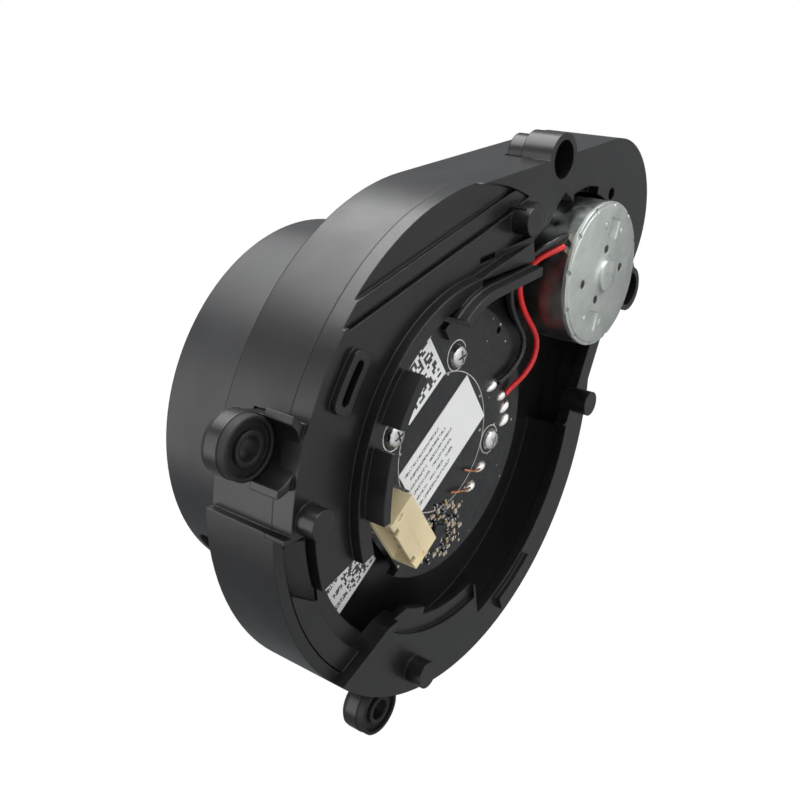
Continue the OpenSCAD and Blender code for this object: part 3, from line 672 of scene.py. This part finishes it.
class Workpiece:
    """One mesh piece, shaped with the modelling operators."""

    def __init__(self, name: str) -> None:
        """Names a piece that the next primitive starts.

        Args:
            name: Name of the piece.
        """
        self.name = name
        self.object: bpy.types.Object | None = None

    @staticmethod
    def clear() -> None:
        """Leaves edit mode and selects nothing."""
        if bpy.context.object and bpy.context.object.mode != "OBJECT":
            bpy.ops.object.mode_set(mode="OBJECT")
        bpy.ops.object.select_all(action="DESELECT")

    def adopt(self) -> None:
        """Takes the newly added primitive as this piece."""
        self.object = bpy.context.object
        self.object.name = self.name
        self.object.data.name = self.name

    def focus(self) -> None:
        """Makes this piece the only selected one."""
        self.clear()
        bpy.context.view_layer.objects.active = self.object
        self.object.select_set(True)

    def settle(self) -> None:
        """Puts the piece's place into its mesh."""
        self.focus()
        bpy.ops.object.transform_apply(location=True, rotation=True, scale=True)

    def box(self, low: Point, high: Point, turn: float = 0.0) -> "Workpiece":
        """Starts from a block between two corners, in millimetres.

        Args:
            low: Lowest corner.
            high: Highest corner.
            turn: Turn about the vertical axis, in degrees.

        Returns:
            The piece.
        """
        self.clear()
        size = [(b - a) * MM for a, b in zip(low, high)]
        centre = [(a + b) / 2 * MM for a, b in zip(low, high)]
        bpy.ops.mesh.primitive_cube_add(size=1.0, location=centre)
        self.adopt()
        self.object.scale = size
        self.settle()
        if turn:
            self.object.matrix_world = about(0.0, 0.0, turn) @ self.object.matrix_world
            self.settle()
        return self

    def turned(self, profile: Sequence[Spot], at: Spot = (0.0, 0.0), sides: int = 64) -> "Workpiece":
        """Grows a round piece ring by ring from its first radius and height.

        Args:
            profile: Radius and height of each ring, in millimetres. A radius of 0 closes it.
            at: Place of the axis, in millimetres.
            sides: Corners of each ring.

        Returns:
            The piece.
        """
        self.clear()
        first = next(i for i, (r, _) in enumerate(profile) if r > 0)
        radius, height = profile[first]
        centre = Vector((at[0] * MM, at[1] * MM, height * MM))
        fill = "NGON" if first else "NOTHING"
        bpy.ops.mesh.primitive_circle_add(vertices=sides, radius=radius * MM, location=centre, fill_type=fill)
        self.adopt()
        self.settle()
        bpy.ops.object.mode_set(mode="EDIT")
        bpy.ops.mesh.select_all(action="SELECT")
        for r, z in profile[first + 1:]:
            if r <= 0:
                bpy.ops.mesh.edge_face_add()
                break
            rise = (0.0, 0.0, (z - height) * MM)
            bpy.ops.mesh.extrude_edges_move(TRANSFORM_OT_translate={"value": rise})
            factor = r / radius
            if abs(factor - 1.0) > 1e-6:
                pivot = (at[0] * MM, at[1] * MM, z * MM)
                bpy.ops.transform.resize(value=(factor, factor, 1.0), center_override=pivot)
            radius, height = r, z
        bpy.ops.mesh.select_all(action="SELECT")
        if profile[0] == profile[-1]:
            bpy.ops.mesh.remove_doubles(threshold=1e-7)
        bpy.ops.mesh.normals_make_consistent(inside=False)
        bpy.ops.object.mode_set(mode="OBJECT")
        return self

    def modifier(self, kind: str, **values: object) -> "Workpiece":
        """Adds a modifier and applies it.

        Args:
            kind: The modifier's type.
            **values: Its settings.

        Returns:
            The piece.
        """
        self.focus()
        made = self.object.modifiers.new(kind.lower(), kind)
        for name, value in values.items():
            setattr(made, name, value)
        bpy.ops.object.modifier_apply(modifier=made.name)
        return self

    def bevel(self, width_mm: float, segments: int = 2, angle: float = 32.0) -> "Workpiece":
        """Rounds the sharp edges.

        Args:
            width_mm: Width of the rounding.
            segments: Faces across it.
            angle: Least angle of an edge that is rounded, in degrees.

        Returns:
            The piece.
        """
        return self.modifier(
            "BEVEL", width=width_mm * MM, segments=segments, limit_method="ANGLE",
            angle_limit=math.radians(angle), use_clamp_overlap=True, miter_outer="MITER_ARC",
        )

    def cut(self, tool: "Workpiece") -> "Workpiece":
        """Cuts another piece out of this one and discards the tool.

        Args:
            tool: The piece to cut with.

        Returns:
            The piece that was cut.
        """
        self.modifier("BOOLEAN", operation="DIFFERENCE", object=tool.object, solver="EXACT")
        tool.discard()
        return self

    def weld(self, other: "Workpiece") -> "Workpiece":
        """Joins another piece's mesh to this one.

        Args:
            other: The piece that is used up.

        Returns:
            This piece.
        """
        self.focus()
        other.object.select_set(True)
        bpy.ops.object.join()
        return self

    def discard(self) -> None:
        """Removes the piece."""
        mesh = self.object.data
        bpy.data.objects.remove(self.object)
        bpy.data.meshes.remove(mesh)

    def smooth(self, angle: float = 35.0) -> "Workpiece":
        """Shades the piece smooth, except across sharper edges.

        Args:
            angle: Greatest angle that is shaded smooth, in degrees.

        Returns:
            The piece.
        """
        self.focus()
        bpy.ops.object.shade_smooth_by_angle(angle=math.radians(angle))
        return self

    def duplicate(self, name: str, matrix: Matrix) -> "Workpiece":
        """Copies the piece, with its own mesh, to another place.

        Args:
            name: Name of the copy.
            matrix: Move that places the copy.

        Returns:
            The copy.
        """
        made = Workpiece(name)
        self.clear()
        made.object = self.object.copy()
        made.object.data = self.object.data.copy()
        made.object.name = name
        bpy.context.scene.collection.objects.link(made.object)
        made.object.matrix_world = matrix @ made.object.matrix_world
        made.settle()
        return made

    def paint(self, *finishes: Finish) -> "Workpiece":
        """Fills the piece's material slots.

        Args:
            *finishes: One finish for each slot.

        Returns:
            The piece.
        """
        self.object.data.materials.clear()
        for finish in finishes:
            self.object.data.materials.append(finish.material())
        return self

    def tint_faces(self, index: int, test: Callable[[Vector, Vector], bool]) -> "Workpiece":
        """Gives the faces that pass a test another material slot.

        Args:
            index: The slot.
            test: Takes a face's middle and normal.

        Returns:
            The piece.
        """
        for face in self.object.data.polygons:
            if test(face.center, face.normal):
                face.material_index = index
        return self

    def install(self, body: Body, slot: str, *nodes: str) -> None:
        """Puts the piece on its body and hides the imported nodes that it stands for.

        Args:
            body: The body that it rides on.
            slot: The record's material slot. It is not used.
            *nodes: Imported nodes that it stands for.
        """
        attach(self.object, body.value)
        if nodes:
            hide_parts(*nodes)
        LOG.info("piece %s: %d faces", self.name, len(self.object.data.polygons))


def about(x: float, y: float, degrees: float = 0.0, z: float = 0.0) -> Matrix:
    """Returns a move to a place in millimetres, after a turn about Z."""
    return Matrix.Translation((x * MM, y * MM, z * MM)) @ Matrix.Rotation(math.radians(degrees), 4, "Z")


def polar(radius: float, degrees: float) -> Spot:
    """Returns the place at a distance and angle from the axis."""
    return radius * math.cos(math.radians(degrees)), radius * math.sin(math.radians(degrees))


def cylinder(name: str, radius: float, low: float, high: float, at: Spot, sides: int = 24) -> Workpiece:
    """Makes a closed round tool."""
    return Workpiece(name).turned([(0, low), (radius, low), (radius, high), (0, high)], at, sides)


def joined(name: str, pieces: Iterable[Workpiece]) -> Workpiece:
    """Welds pieces together in their order.

    Args:
        name: Name of the joined piece.
        pieces: The pieces, at their places.

    Returns:
        The joined piece.
    """
    whole: Workpiece | None = None
    for made in pieces:
        whole = whole.weld(made) if whole else made
    whole.name = name
    whole.object.name = name
    whole.object.data.name = name
    return whole


def keep(node: str, finish: Finish) -> None:
    """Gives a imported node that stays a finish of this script.

    Args:
        node: Name of the node.
        finish: The finish.
    """
    target = bpy.data.objects[node]
    made = finish.material()
    for slot in target.material_slots:
        slot.material = made
    if not target.material_slots:
        target.data.materials.append(made)
    LOG.info("node %s: %s", node, finish.name)


@dataclass
class Fastener:
    """Pan-head screw with a cross recess.

    Attributes:
        head_r: Radius of the head, in millimetres.
        head_h: Height of the head.
        shank_r: Radius of the shank.
        shank_h: Length of the shank.
    """

    head_r: float
    head_h: float
    shank_r: float
    shank_h: float

    def build(self, name: str) -> Workpiece:
        """Builds the screw at the origin, head towards +Z from z = 0.

        Args:
            name: Name of the screw.

        Returns:
            The screw.
        """
        r, h = self.head_r, self.head_h
        dome = [
            (0, h), (r * 0.35, h * 0.99), (r * 0.62, h * 0.93), (r * 0.84, h * 0.74), (r * 0.96, h * 0.45),
            (r, h * 0.12), (r, 0),
        ]
        shank = [(self.shank_r, 0), (self.shank_r, -self.shank_h), (0, -self.shank_h)]
        screw = Workpiece(name).turned([*dome, *shank], sides=40)
        reach, half = r * 0.56, 0.19 * r / 1.9
        for turn in (0.0, 90.0):
            screw.cut(Workpiece("recess").box((-reach, -half, h * 0.42), (reach, half, h + 1.0), turn))
        return screw.smooth(30)

    def set_out(self, name: str, places: Iterable[Spot], z: float, up: Up, finish: Finish) -> Workpiece:
        """Copies the screw to each place and joins the copies.

        Args:
            name: Name of the joined piece.
            places: Places in millimetres.
            z: Height of the face under the heads.
            up: Which way the heads face.
            finish: Finish of the screws.

        Returns:
            The joined screws.
        """
        first = self.build(name + "_model")
        if up is Up.TOWARDS_FLOOR:
            first.object.matrix_world = Matrix.Rotation(math.pi, 4, "X")
            first.settle()
        whole = joined(name, (
            first.duplicate(f"{name}_{index}", about(x, y, 23.0 + 41.0 * index, z))
            for index, (x, y) in enumerate(places)
        ))
        first.discard()
        return whole.paint(finish)


# ---------------------------------------------------------------- sub-assemblies


@dataclass
class Housing:
    """Lower frame, upper cover, bushes and cover screws.

    Attributes:
        body_h: Height of the upper cover's top, in millimetres.
        screw_places: Places of the cover screws.
        ears: Places of the two rear fixing ears.
    """

    body_h: float = 14.5
    screw_places: tuple[Spot, ...] = ((17.6, 30.5), (-34.0, 9.6), (-6.5, -34.6), (60.3, -0.4))
    ears: tuple[Spot, Spot] = ((-27.0, -33.0), (-35.3, 28.8))

    def build(self) -> None:
        """Dresses the housing and builds its screws and bushes."""
        keep("lower_frame", BLACK_FRAME)
        keep("upper_cover", BLACK_SHELL)
        self.bushes()
        Fastener(1.9, 0.8, 0.98, 3.2).set_out(
            "cover_screw_set", self.screw_places, self.body_h - 0.8, Up.TOWARDS_TURRET, BRIGHT_STEEL
        ).install(Body.BASE, "steel", "cover_screws")

    def bushes(self) -> None:
        """Builds the two rubber bushes with rounded flanges."""
        profile = [
            (1.7, 5.05), (1.85, 4.9), (2.35, 4.9), (2.5, 5.05), (2.5, 5.7), (3.8, 5.7), (3.8, 5.05),
            (3.95, 4.9), (4.25, 4.9), (4.4, 5.05), (4.4, 6.4), (3.4, 6.4), (3.4, 8.6), (4.4, 8.6), (4.4, 9.1),
            (4.1, 9.4), (2.0, 9.4), (1.7, 9.2), (1.7, 5.05),
        ]
        pair = Workpiece("ear_bushes").turned(profile, self.ears[0], 64)
        pair.weld(Workpiece("ear_bush_rear").turned(profile, self.ears[1], 64))
        pair.smooth(40).paint(SOFT_RUBBER).install(Body.BASE, "black_rubber", "mount_grommets")


@dataclass
class Motor:
    """Flat round motor with its plated cap, bumps, tags and drive end.

    Attributes:
        x: Place of its axis along X, in millimetres.
        r: Radius of the can.
        low: Height of the cap's face.
        top: Height of the can's top.
        dimple_angles: Angles of the cap's square dimples, in degrees.
        dimple_r: Their distance from the motor's axis.
        vents: Distance and angle of each small hole in the cap.
    """

    x: float = 39.85
    r: float = 12.2
    low: float = -4.25
    top: float = 8.05
    dimple_angles: Spot = (-38.0, 142.0)
    dimple_r: float = 7.9
    vents: tuple[Spot, ...] = ((4.3, -51.0), (4.4, 150.0), (6.2, 32.0), (7.0, -149.0))

    def build(self) -> None:
        """Builds the motor's visible pieces and dresses the rest."""
        self.can()
        self.cap()
        self.rivets()
        for node, finish in (
            ("motor_magnet", FERRITE), ("motor_bush", BRASS), ("motor_shaft", BRIGHT_STEEL),
            ("motor_armature", COPPER_WIRE), ("motor_pulley", BRASS), ("drive_belt", SOFT_RUBBER),
            ("motor_terminals", DULL_TIN),
        ):
            keep(node, finish)
        places = ((self.x - 8.5, 0.0), (self.x + 8.5, 0.0))
        Fastener(1.85, 1.1, 0.93, 2.5).set_out(
            "motor_screw_pair", places, 9.9, Up.TOWARDS_TURRET, BRIGHT_STEEL
        ).install(Body.BASE, "steel", "motor_screws")

    def can(self) -> None:
        """Builds the drawn can with its rounded shoulder."""
        low, top, r = self.low + 0.85, self.top, self.r
        profile = [
            (2.9, top - 0.8), (r - 0.8, top - 0.8), (r - 0.8, low), (r - 0.05, low), (r, low + 0.05),
            (r, top - 1.2), (r - 0.1, top - 0.7), (r - 0.35, top - 0.3), (r - 0.75, top - 0.07),
            (r - 1.2, top), (2.9, top), (2.9, top - 0.8),
        ]
        can = Workpiece("motor_drawn_can").turned(profile, (self.x, 0.0), 128)
        can.smooth(35).paint(NICKEL_PLATE).install(Body.BASE, "motor_steel", "motor_can")

    def cap(self) -> None:
        """Builds the pressed end cap with bead, boss, holes and dimples."""
        z, r = self.low, self.r
        profile = [
            (0.0, z - 0.7), (1.03, z - 0.7), (1.03, z + 1.8), (3.0, z + 1.8), (3.0, z + 0.85),
            (r - 0.06, z + 0.85), (r, z + 0.8), (r, z + 0.36), (r - 0.06, z + 0.3), (r - 0.5, z + 0.27),
            (r - 0.56, z + 0.2), (r - 0.62, z + 0.08), (r - 0.8, z),
            (4.0, z), (3.65, z - 0.03), (3.3, z - 0.12), (2.95, z - 0.3), (2.75, z - 0.55), (2.7, z - 0.85),
            (2.6, z - 1.02), (2.4, z - 1.1), (0.0, z - 1.1), (0.0, z - 0.7),
        ]
        cap = Workpiece("motor_pressed_cap").turned(profile, (self.x, 0.0), 128)
        for radius, angle in self.vents:
            dx, dy = polar(radius, angle)
            cap.cut(cylinder("vent", 0.75, z - 1.0, z + 2.0, (self.x + dx, dy)))
        for angle in self.dimple_angles:
            dx, dy = polar(self.dimple_r, angle)
            tool = Workpiece("dimple").box((-1.7, -1.7, z - 1.0), (1.7, 1.7, z + 0.22)).bevel(0.4, 3)
            tool.object.matrix_world = about(self.x + dx, dy, angle)
            tool.settle()
            cap.cut(tool)
        for index in range(12):
            dx, dy = polar(r - 0.25, 15.0 + 30.0 * index)
            cap.cut(cylinder("stake", 0.5, z - 1.0, z + 0.5, (self.x + dx, dy), 16))
        for angle in (60.0, 240.0):
            dx, dy = polar(1.1, angle)
            cap.cut(cylinder("dot", 0.28, z - 2.0, z - 0.95, (self.x + dx, dy), 12))
        cap.smooth(30).paint(PALE_PLATE).install(Body.BASE, "plated_cap", "motor_end_cap")

    def rivets(self) -> None:
        """Builds the small round bumps on both sides of each dimple."""
        z = self.low
        dome = [(0, z), (0.6, z), (0.58, z - 0.06), (0.5, z - 0.13), (0.34, z - 0.18), (0, z - 0.2)]
        bumps = []
        for angle in self.dimple_angles:
            dx, dy = polar(self.dimple_r, angle)
            for side in (-3.0, 3.0):
                ox, oy = polar(side, angle + 90.0)
                bumps.append(Workpiece("cap_bump").turned(dome, (self.x + dx + ox, dy + oy), 32))
        joined("cap_bumps", bumps).smooth(50).paint(PALE_PLATE).install(Body.BASE, "steel", "motor_rivets")


@dataclass
class Board:
    """Main board with its parts, stickers, screws and header.

    Attributes:
        z: Height of the board's face, in millimetres.
        screw_r: Distance of the screws from the module's axis.
        screw_angles: Angles of the screws, in degrees.
        field: Corners of the area that the small parts fill.
        big_chip: Middle of the large circuit in that area.
        joints: Middles of the soldered joints.
        lean: Turn of each joint, in degrees.
        stretch: How far each joint is drawn out towards its lead.
        chip_end: Length of a small part's tinned end.
    """

    z: float = 4.0
    screw_r: float = 14.0
    screw_angles: tuple[float, ...] = (-45.5, 49.9, -123.4)
    field: tuple[Spot, ...] = (
        (-15.0, 9.7), (-10.6, 6.8), (-4.1, 9.0), (-3.1, 13.5), (-4.6, 18.0), (-10.6, 18.0), (-16.3, 12.6)
    )
    big_chip: Spot = (-10.2, 12.0)
    joints: tuple[Spot, ...] = (
        (15.3, 6.4), (15.0, 9.0), (14.2, 2.5), (13.8, 11.2), (4.7, 12.9), (0.9, 13.5)
    )
    lean: tuple[float, ...] = (-2.0, -6.0, 4.0, -8.0, 12.0, 9.0)
    stretch: tuple[float, ...] = (1.15, 1.45, 1.5, 1.5, 1.5, 1.4)
    chip_end: float = 0.2

    def build(self) -> None:
        """Builds everything that sits on the board."""
        keep("main_board", BLACK_MASK)
        places = [polar(self.screw_r, angle) for angle in self.screw_angles]
        Fastener(1.9, 1.2, 0.78, 3.8).set_out(
            "board_screw_set", places, self.z, Up.TOWARDS_FLOOR, BRIGHT_STEEL
        ).install(Body.BASE, "steel", "board_screws")
        self.pads()
        self.header()
        self.chips()
        self.stickers()
        self.solder()
        for node, finish in (
            ("coil_leads", COPPER_LEAD), ("data_emitter", CLEAR_EPOXY), ("primary_core", FERRITE),
            ("primary_coil", COPPER_WIRE), ("index_sensor", CHIP_EPOXY), ("board_chips", CHIP_EPOXY),
        ):
            keep(node, finish)

    def pads(self) -> None:
        """Builds the thin tinned rings around the screws."""
        inner, outer, face, raised = 2.35, 2.55, self.z, self.z - 0.02
        ring = [(inner, face), (outer, face), (outer, raised), (inner, raised), (inner, face)]
        joined("screw_pads", (
            Workpiece("screw_pad").turned(ring, polar(self.screw_r, angle), 48) for angle in self.screw_angles
        )).paint(TIN).install(Body.BASE, "solder")

    def header(self) -> None:
        """Builds the five-way side-entry header."""
        shell = Workpiece("header_shell").box((-19.0, -6.2, -0.8), (-13.0, 5.7, self.z))
        shell.cut(Workpiece("mouth").box((-20.0, -5.4, -0.1), (-13.8, 4.9, 3.2)))
        for y in (-4.6, 3.0):
            shell.cut(Workpiece("key").box((-20.0, y, -1.5), (-18.1, y + 1.0, 0.1)))
        for y in (-5.9, 4.6):
            shell.cut(Workpiece("notch").box((-17.4, y, -1.5), (-16.2, y + 0.8, -0.45)))
        for index in range(5):
            y = -4.25 + 2 * index
            shell.cut(Workpiece("pin_hole").box((-14.5, y - 0.35, 1.0), (-11.5, y + 0.35, 1.7)))
        shell.bevel(0.12, 2).smooth(30).paint(CREAM_NYLON)
        shell.install(Body.BASE, "cream_plastic", "connector_shell")
        keep("connector_pins", TIN)

    def chips(self) -> None:
        """Builds the small two-ended parts with tinned ends."""
        parts = []
        for row in range(12):
            for column in range(13):
                if (row * 5 + column * 3) % 9 == 0:
                    continue
                x = -17.0 + 1.22 * column - 0.2 * row + 0.18 * ((row * 7 + column * 5) % 3 - 1)
                y = 5.4 + 1.16 * row + 0.3 * column + 0.15 * ((row * 3 + column * 7) % 3 - 1)
                if self.on_field(x, y):
                    parts.append(self.chip(row, column, x, y))
        joined("chip_parts", parts).install(Body.BASE, "chip_tan", "small_parts")

    def on_field(self, x: float, y: float) -> bool:
        """Tells whether a place lies on the populated field.

        Args:
            x: Place along X, in millimetres.
            y: Place along Y, in millimetres.

        Returns:
            True where a small part may sit.
        """
        inside = True
        for (ax, ay), (bx, by) in zip(self.field, self.field[1:] + self.field[:1]):
            inside = inside and (bx - ax) * (y - ay) - (by - ay) * (x - ax) > 0.0
        clear = math.hypot(x - self.big_chip[0], y - self.big_chip[1]) > 2.5
        return inside and clear and math.hypot(x, y) < 20.8

    def chip(self, row: int, column: int, x: float, y: float) -> Workpiece:
        """Builds one small part, its size by a fixed rule.

        Args:
            row: Row in the field.
            column: Column in the field.
            x: Place along X, in millimetres.
            y: Place along Y, in millimetres.

        Returns:
            The part, with its ends on slot 1.
        """
        long = 0.8 + 0.14 * ((row * 3 + column * 2) % 3)
        wide = 0.44 + 0.1 * ((row + column * 5) % 3)
        high = 0.3 + 0.12 * ((row + column * 3) % 3)
        made = Workpiece(f"chip_{row}_{column}").box((-long / 2, -wide / 2, -high), (long / 2, wide / 2, 0.0))
        self.ring_cuts(made, long)
        for finish in (CHIP_TAN, TIN, CHIP_EPOXY, CHIP_GOLD):
            made.object.data.materials.append(finish.material())
        tone = (row * 2 + column) % 5
        if tone in (1, 3):
            made.tint_faces(2, lambda middle, normal: True)
        if tone == 2:
            made.tint_faces(3, lambda middle, normal: True)
        reach = (long / 2 - self.chip_end) * MM
        made.tint_faces(1, lambda middle, normal: abs(middle.x) > reach)
        made.object.matrix_world = about(x, y, 90.0 * ((row * 3 + column) % 2) + 20.0, self.z)
        made.settle()
        return made

    def ring_cuts(self, piece: Workpiece, long: float) -> None:
        """Cuts two rings around a small part where its ends begin.

        Args:
            piece: The part, at the origin.
            long: Its length, in millimetres.
        """
        piece.focus()
        bpy.ops.object.mode_set(mode="EDIT")
        reach = (long / 2 - self.chip_end) * MM
        for side in (-1, 1):
            bpy.ops.mesh.select_all(action="SELECT")
            bpy.ops.mesh.bisect(plane_co=(side * reach, 0.0, 0.0), plane_no=(1.0, 0.0, 0.0))
        bpy.ops.object.mode_set(mode="OBJECT")

    def stickers(self) -> None:
        """Dresses the three stickers."""
        keep("product_label", MODULE_STICKER)
        keep("code_label", CODE_STICKER)
        keep("side_label", SIDE_STICKER)

    def solder(self) -> None:
        """Builds the soldered joints as blobs drawn out towards their leads."""
        z = self.z
        cone = [
            (0, z), (1.0, z), (0.97, z - 0.1), (0.86, z - 0.34), (0.66, z - 0.58), (0.4, z - 0.78),
            (0.15, z - 0.88), (0, z - 0.9),
        ]
        blobs = []
        for (x, y), lean, stretch in zip(self.joints, self.lean, self.stretch):
            made = Workpiece("solder_blob").turned(cone, sides=28)
            squeeze = Matrix.Diagonal((stretch, 0.72, 1.0, 1.0))
            made.object.matrix_world = about(x, y, lean) @ squeeze
            made.settle()
            blobs.append(made)
        joined("solder_blobs", blobs).smooth(60).paint(TIN).install(Body.BASE, "solder", "solder_joints")


@dataclass
class Leads:
    """The motor's two leads, held under the frame's rib.

    Attributes:
        radius: Radius of the insulation, in millimetres.
        red: Route of the red lead, from its motor tag to its solder joint.
        black: Route of the black lead.
    """

    radius: float = 0.48
    red: tuple[Point, ...] = (
        (33.8, -11.9, -2.7), (32.6, -12.3, -2.3), (31.0, -12.6, -1.4), (29.4, -12.4, -0.2),
        (27.8, -11.4, 1.0), (26.4, -9.8, 1.8), (25.6, -7.4, 2.0), (25.4, -4.6, 2.0), (25.7, -1.6, 2.0),
        (26.1, 1.0, 2.0), (25.9, 3.4, 2.0), (24.6, 5.2, 2.0), (22.6, 6.0, 2.0), (20.6, 6.4, 2.3),
        (18.8, 6.7, 2.9), (17.2, 6.7, 3.3), (15.8, 6.5, 3.4),
    )
    black: tuple[Point, ...] = (
        (35.6, -12.6, -2.4), (34.2, -13.3, -2.2), (32.6, -13.8, -1.9), (31.0, -14.0, -1.1),
        (29.2, -13.7, 0.1), (27.3, -12.7, 1.5), (25.7, -10.9, 2.5), (24.6, -8.2, 3.0), (24.2, -4.8, 3.2),
        (24.3, -1.8, 3.2), (24.4, 1.0, 3.2), (23.6, 2.9, 3.2), (21.8, 3.9, 3.2), (19.4, 3.9, 3.2),
        (17.0, 3.3, 3.2), (15.2, 2.7, 3.3),
    )

    def build(self) -> None:
        """Builds both leads."""
        self.lead("red_lead", self.red, RED_VINYL, "red_insulation", "motor_lead_red")
        self.lead("black_lead", self.black, BLACK_VINYL, "black_insulation", "motor_lead_black")

    def lead(self, name: str, route: Sequence[Point], finish: Finish, slot: str, node: str) -> None:
        """Builds one lead as a smooth round tube.

        Args:
            name: Name of the piece.
            route: Points that it follows, in millimetres.
            finish: Its finish.
            slot: The record's material slot.
            node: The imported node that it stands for.
        """
        curve = bpy.data.curves.new(name, "CURVE")
        curve.dimensions = "3D"
        curve.bevel_depth = self.radius * MM
        curve.bevel_resolution = 5
        curve.use_fill_caps = True
        curve.resolution_u = 6
        spline = curve.splines.new("BEZIER")
        spline.bezier_points.add(len(route) - 1)
        for point, place in zip(spline.bezier_points, route):
            point.co = [c * MM for c in place]
            point.handle_left_type = "AUTO"
            point.handle_right_type = "AUTO"
        made = Workpiece(name)
        made.object = bpy.data.objects.new(name, curve)
        bpy.context.scene.collection.objects.link(made.object)
        made.focus()
        bpy.ops.object.convert(target="MESH")
        made.object = bpy.context.object
        made.object.name = name
        made.smooth(60).paint(finish).install(Body.BASE, slot, node)


@dataclass
class Turret:
    """The drum with its window and everything that turns inside it.

    Attributes:
        finishes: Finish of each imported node.
    """

    finishes: ClassVar[dict[str, Finish]] = {
        "turret_cover": GREY_DRUM, "rotor_base": GREY_DRUM, "turret_window": DARK_WINDOW,
        "rotor_board": GREEN_MASK, "secondary_core": FERRITE, "secondary_coil": COPPER_WIRE,
        "data_receiver": CLEAR_EPOXY,
        "turret_screws": BRIGHT_STEEL, "balance_weight": BRASS, "optics_bench": CAST_ALLOY,
        "laser_barrel": BARREL_BLACK, "laser_lens": LENS_GLASS, "receiver_barrel": BARREL_BLACK,
        "receiver_lens": LENS_GLASS, "image_sensor": CHIP_EPOXY, "bearing_inner_race": BRIGHT_STEEL,
        "bearing_outer_race": BRIGHT_STEEL, "bearing_balls": BRIGHT_STEEL, "bearing_cage": BRASS,
    }

    def build(self) -> None:
        """Dresses the turret and its bearing."""
        for node, finish in self.finishes.items():
            keep(node, finish)


@dataclass
class Studio:
    """Floor, lights and camera.

    Attributes:
        eye_mm: Place of the camera.
        right: Direction of its right side.
        up: Direction of its top.
        back: Direction away from what it sees.
        lens_mm: Focal length.
        floor_mm: Height of the floor.
    """

    eye_mm: Point = (-65.9, -123.6, -80.5)
    right: Point = (0.5227, 0.3172, -0.7913)
    up: Point = (0.7462, -0.619, 0.2449)
    back: Point = (-0.4122, -0.7185, -0.5603)
    lens_mm: float = 46.84
    floor_mm: float = -230.0

    def build(self) -> None:
        """Builds the studio."""
        self.camera()
        self.floor()
        self.world()
        self.lamp("overhead", (0.28, -0.40, 0.14), 0.55, 6.3)
        self.lamp("side", (-0.36, -0.24, 0.24), 0.50, 1.8)
        self.lamp("under_fill", (0.12, 0.22, -0.36), 0.40, 2.3)

    def camera(self) -> None:
        """Places the camera below the module, looking up at its underside."""
        data = bpy.data.cameras.new("view")
        data.lens = self.lens_mm
        data.sensor_width = 36.0
        data.clip_start = 0.005
        data.clip_end = 20.0
        made = bpy.data.objects.new("view", data)
        axes = Matrix((self.right, self.up, self.back)).transposed()
        facing = axes.to_quaternion().to_matrix().to_4x4()
        made.matrix_world = Matrix.Translation([c * MM for c in self.eye_mm]) @ facing
        bpy.context.scene.collection.objects.link(made)
        bpy.context.scene.camera = made

    def floor(self) -> None:
        """Lays a plain pale floor."""
        Workpiece.clear()
        bpy.ops.mesh.primitive_plane_add(size=6.0, location=(0.0, 0.0, self.floor_mm * MM))
        made = Workpiece("studio_floor")
        made.adopt()
        made.settle()
        made.paint(MouldedPlastic("floor_paint", (0.8, 0.8, 0.8), 0.6, rub=0.0, flow=0.0, grain_mm=0.0))

    def world(self) -> None:
        """Sets a plain white surround that lights the object only softly."""
        world = bpy.data.worlds.new("surround")
        world.use_nodes = True
        tree = world.node_tree
        tree.nodes.clear()
        seen = tree.nodes.new("ShaderNodeBackground")
        seen.inputs["Color"].default_value = (1.0, 1.0, 1.0, 1.0)
        seen.inputs["Strength"].default_value = 1.0
        lit = tree.nodes.new("ShaderNodeBackground")
        lit.inputs["Color"].default_value = (0.93, 0.96, 1.0, 1.0)
        lit.inputs["Strength"].default_value = 0.30
        rays = tree.nodes.new("ShaderNodeLightPath")
        both = tree.nodes.new("ShaderNodeMixShader")
        output = tree.nodes.new("ShaderNodeOutputWorld")
        tree.links.new(rays.outputs["Is Camera Ray"], both.inputs[0])
        tree.links.new(lit.outputs[0], both.inputs[1])
        tree.links.new(seen.outputs[0], both.inputs[2])
        tree.links.new(both.outputs[0], output.inputs["Surface"])
        bpy.context.scene.world = world
        bpy.context.scene.view_settings.view_transform = "Standard"

    def lamp(self, name: str, place: Point, size: float, watts: float) -> None:
        """Hangs a square soft light that faces the module.

        Args:
            name: Name of the light.
            place: Where it hangs, in metres.
            size: Side of its square, in metres.
            watts: Its power.
        """
        data = bpy.data.lights.new(name, "AREA")
        data.size = size
        data.energy = watts
        made = bpy.data.objects.new(name, data)
        made.location = place
        made.rotation_euler = (-Vector(place)).to_track_quat("-Z", "Y").to_euler()
        bpy.context.scene.collection.objects.link(made)


def main() -> None:
    """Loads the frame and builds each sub-assembly."""
    logging.basicConfig(level=logging.INFO, format="%(message)s")
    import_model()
    Studio().build()
    Housing().build()
    Motor().build()
    Board().build()
    Leads().build()
    Turret().build()
    Workpiece.clear()


if __name__ == "__main__":
    main()
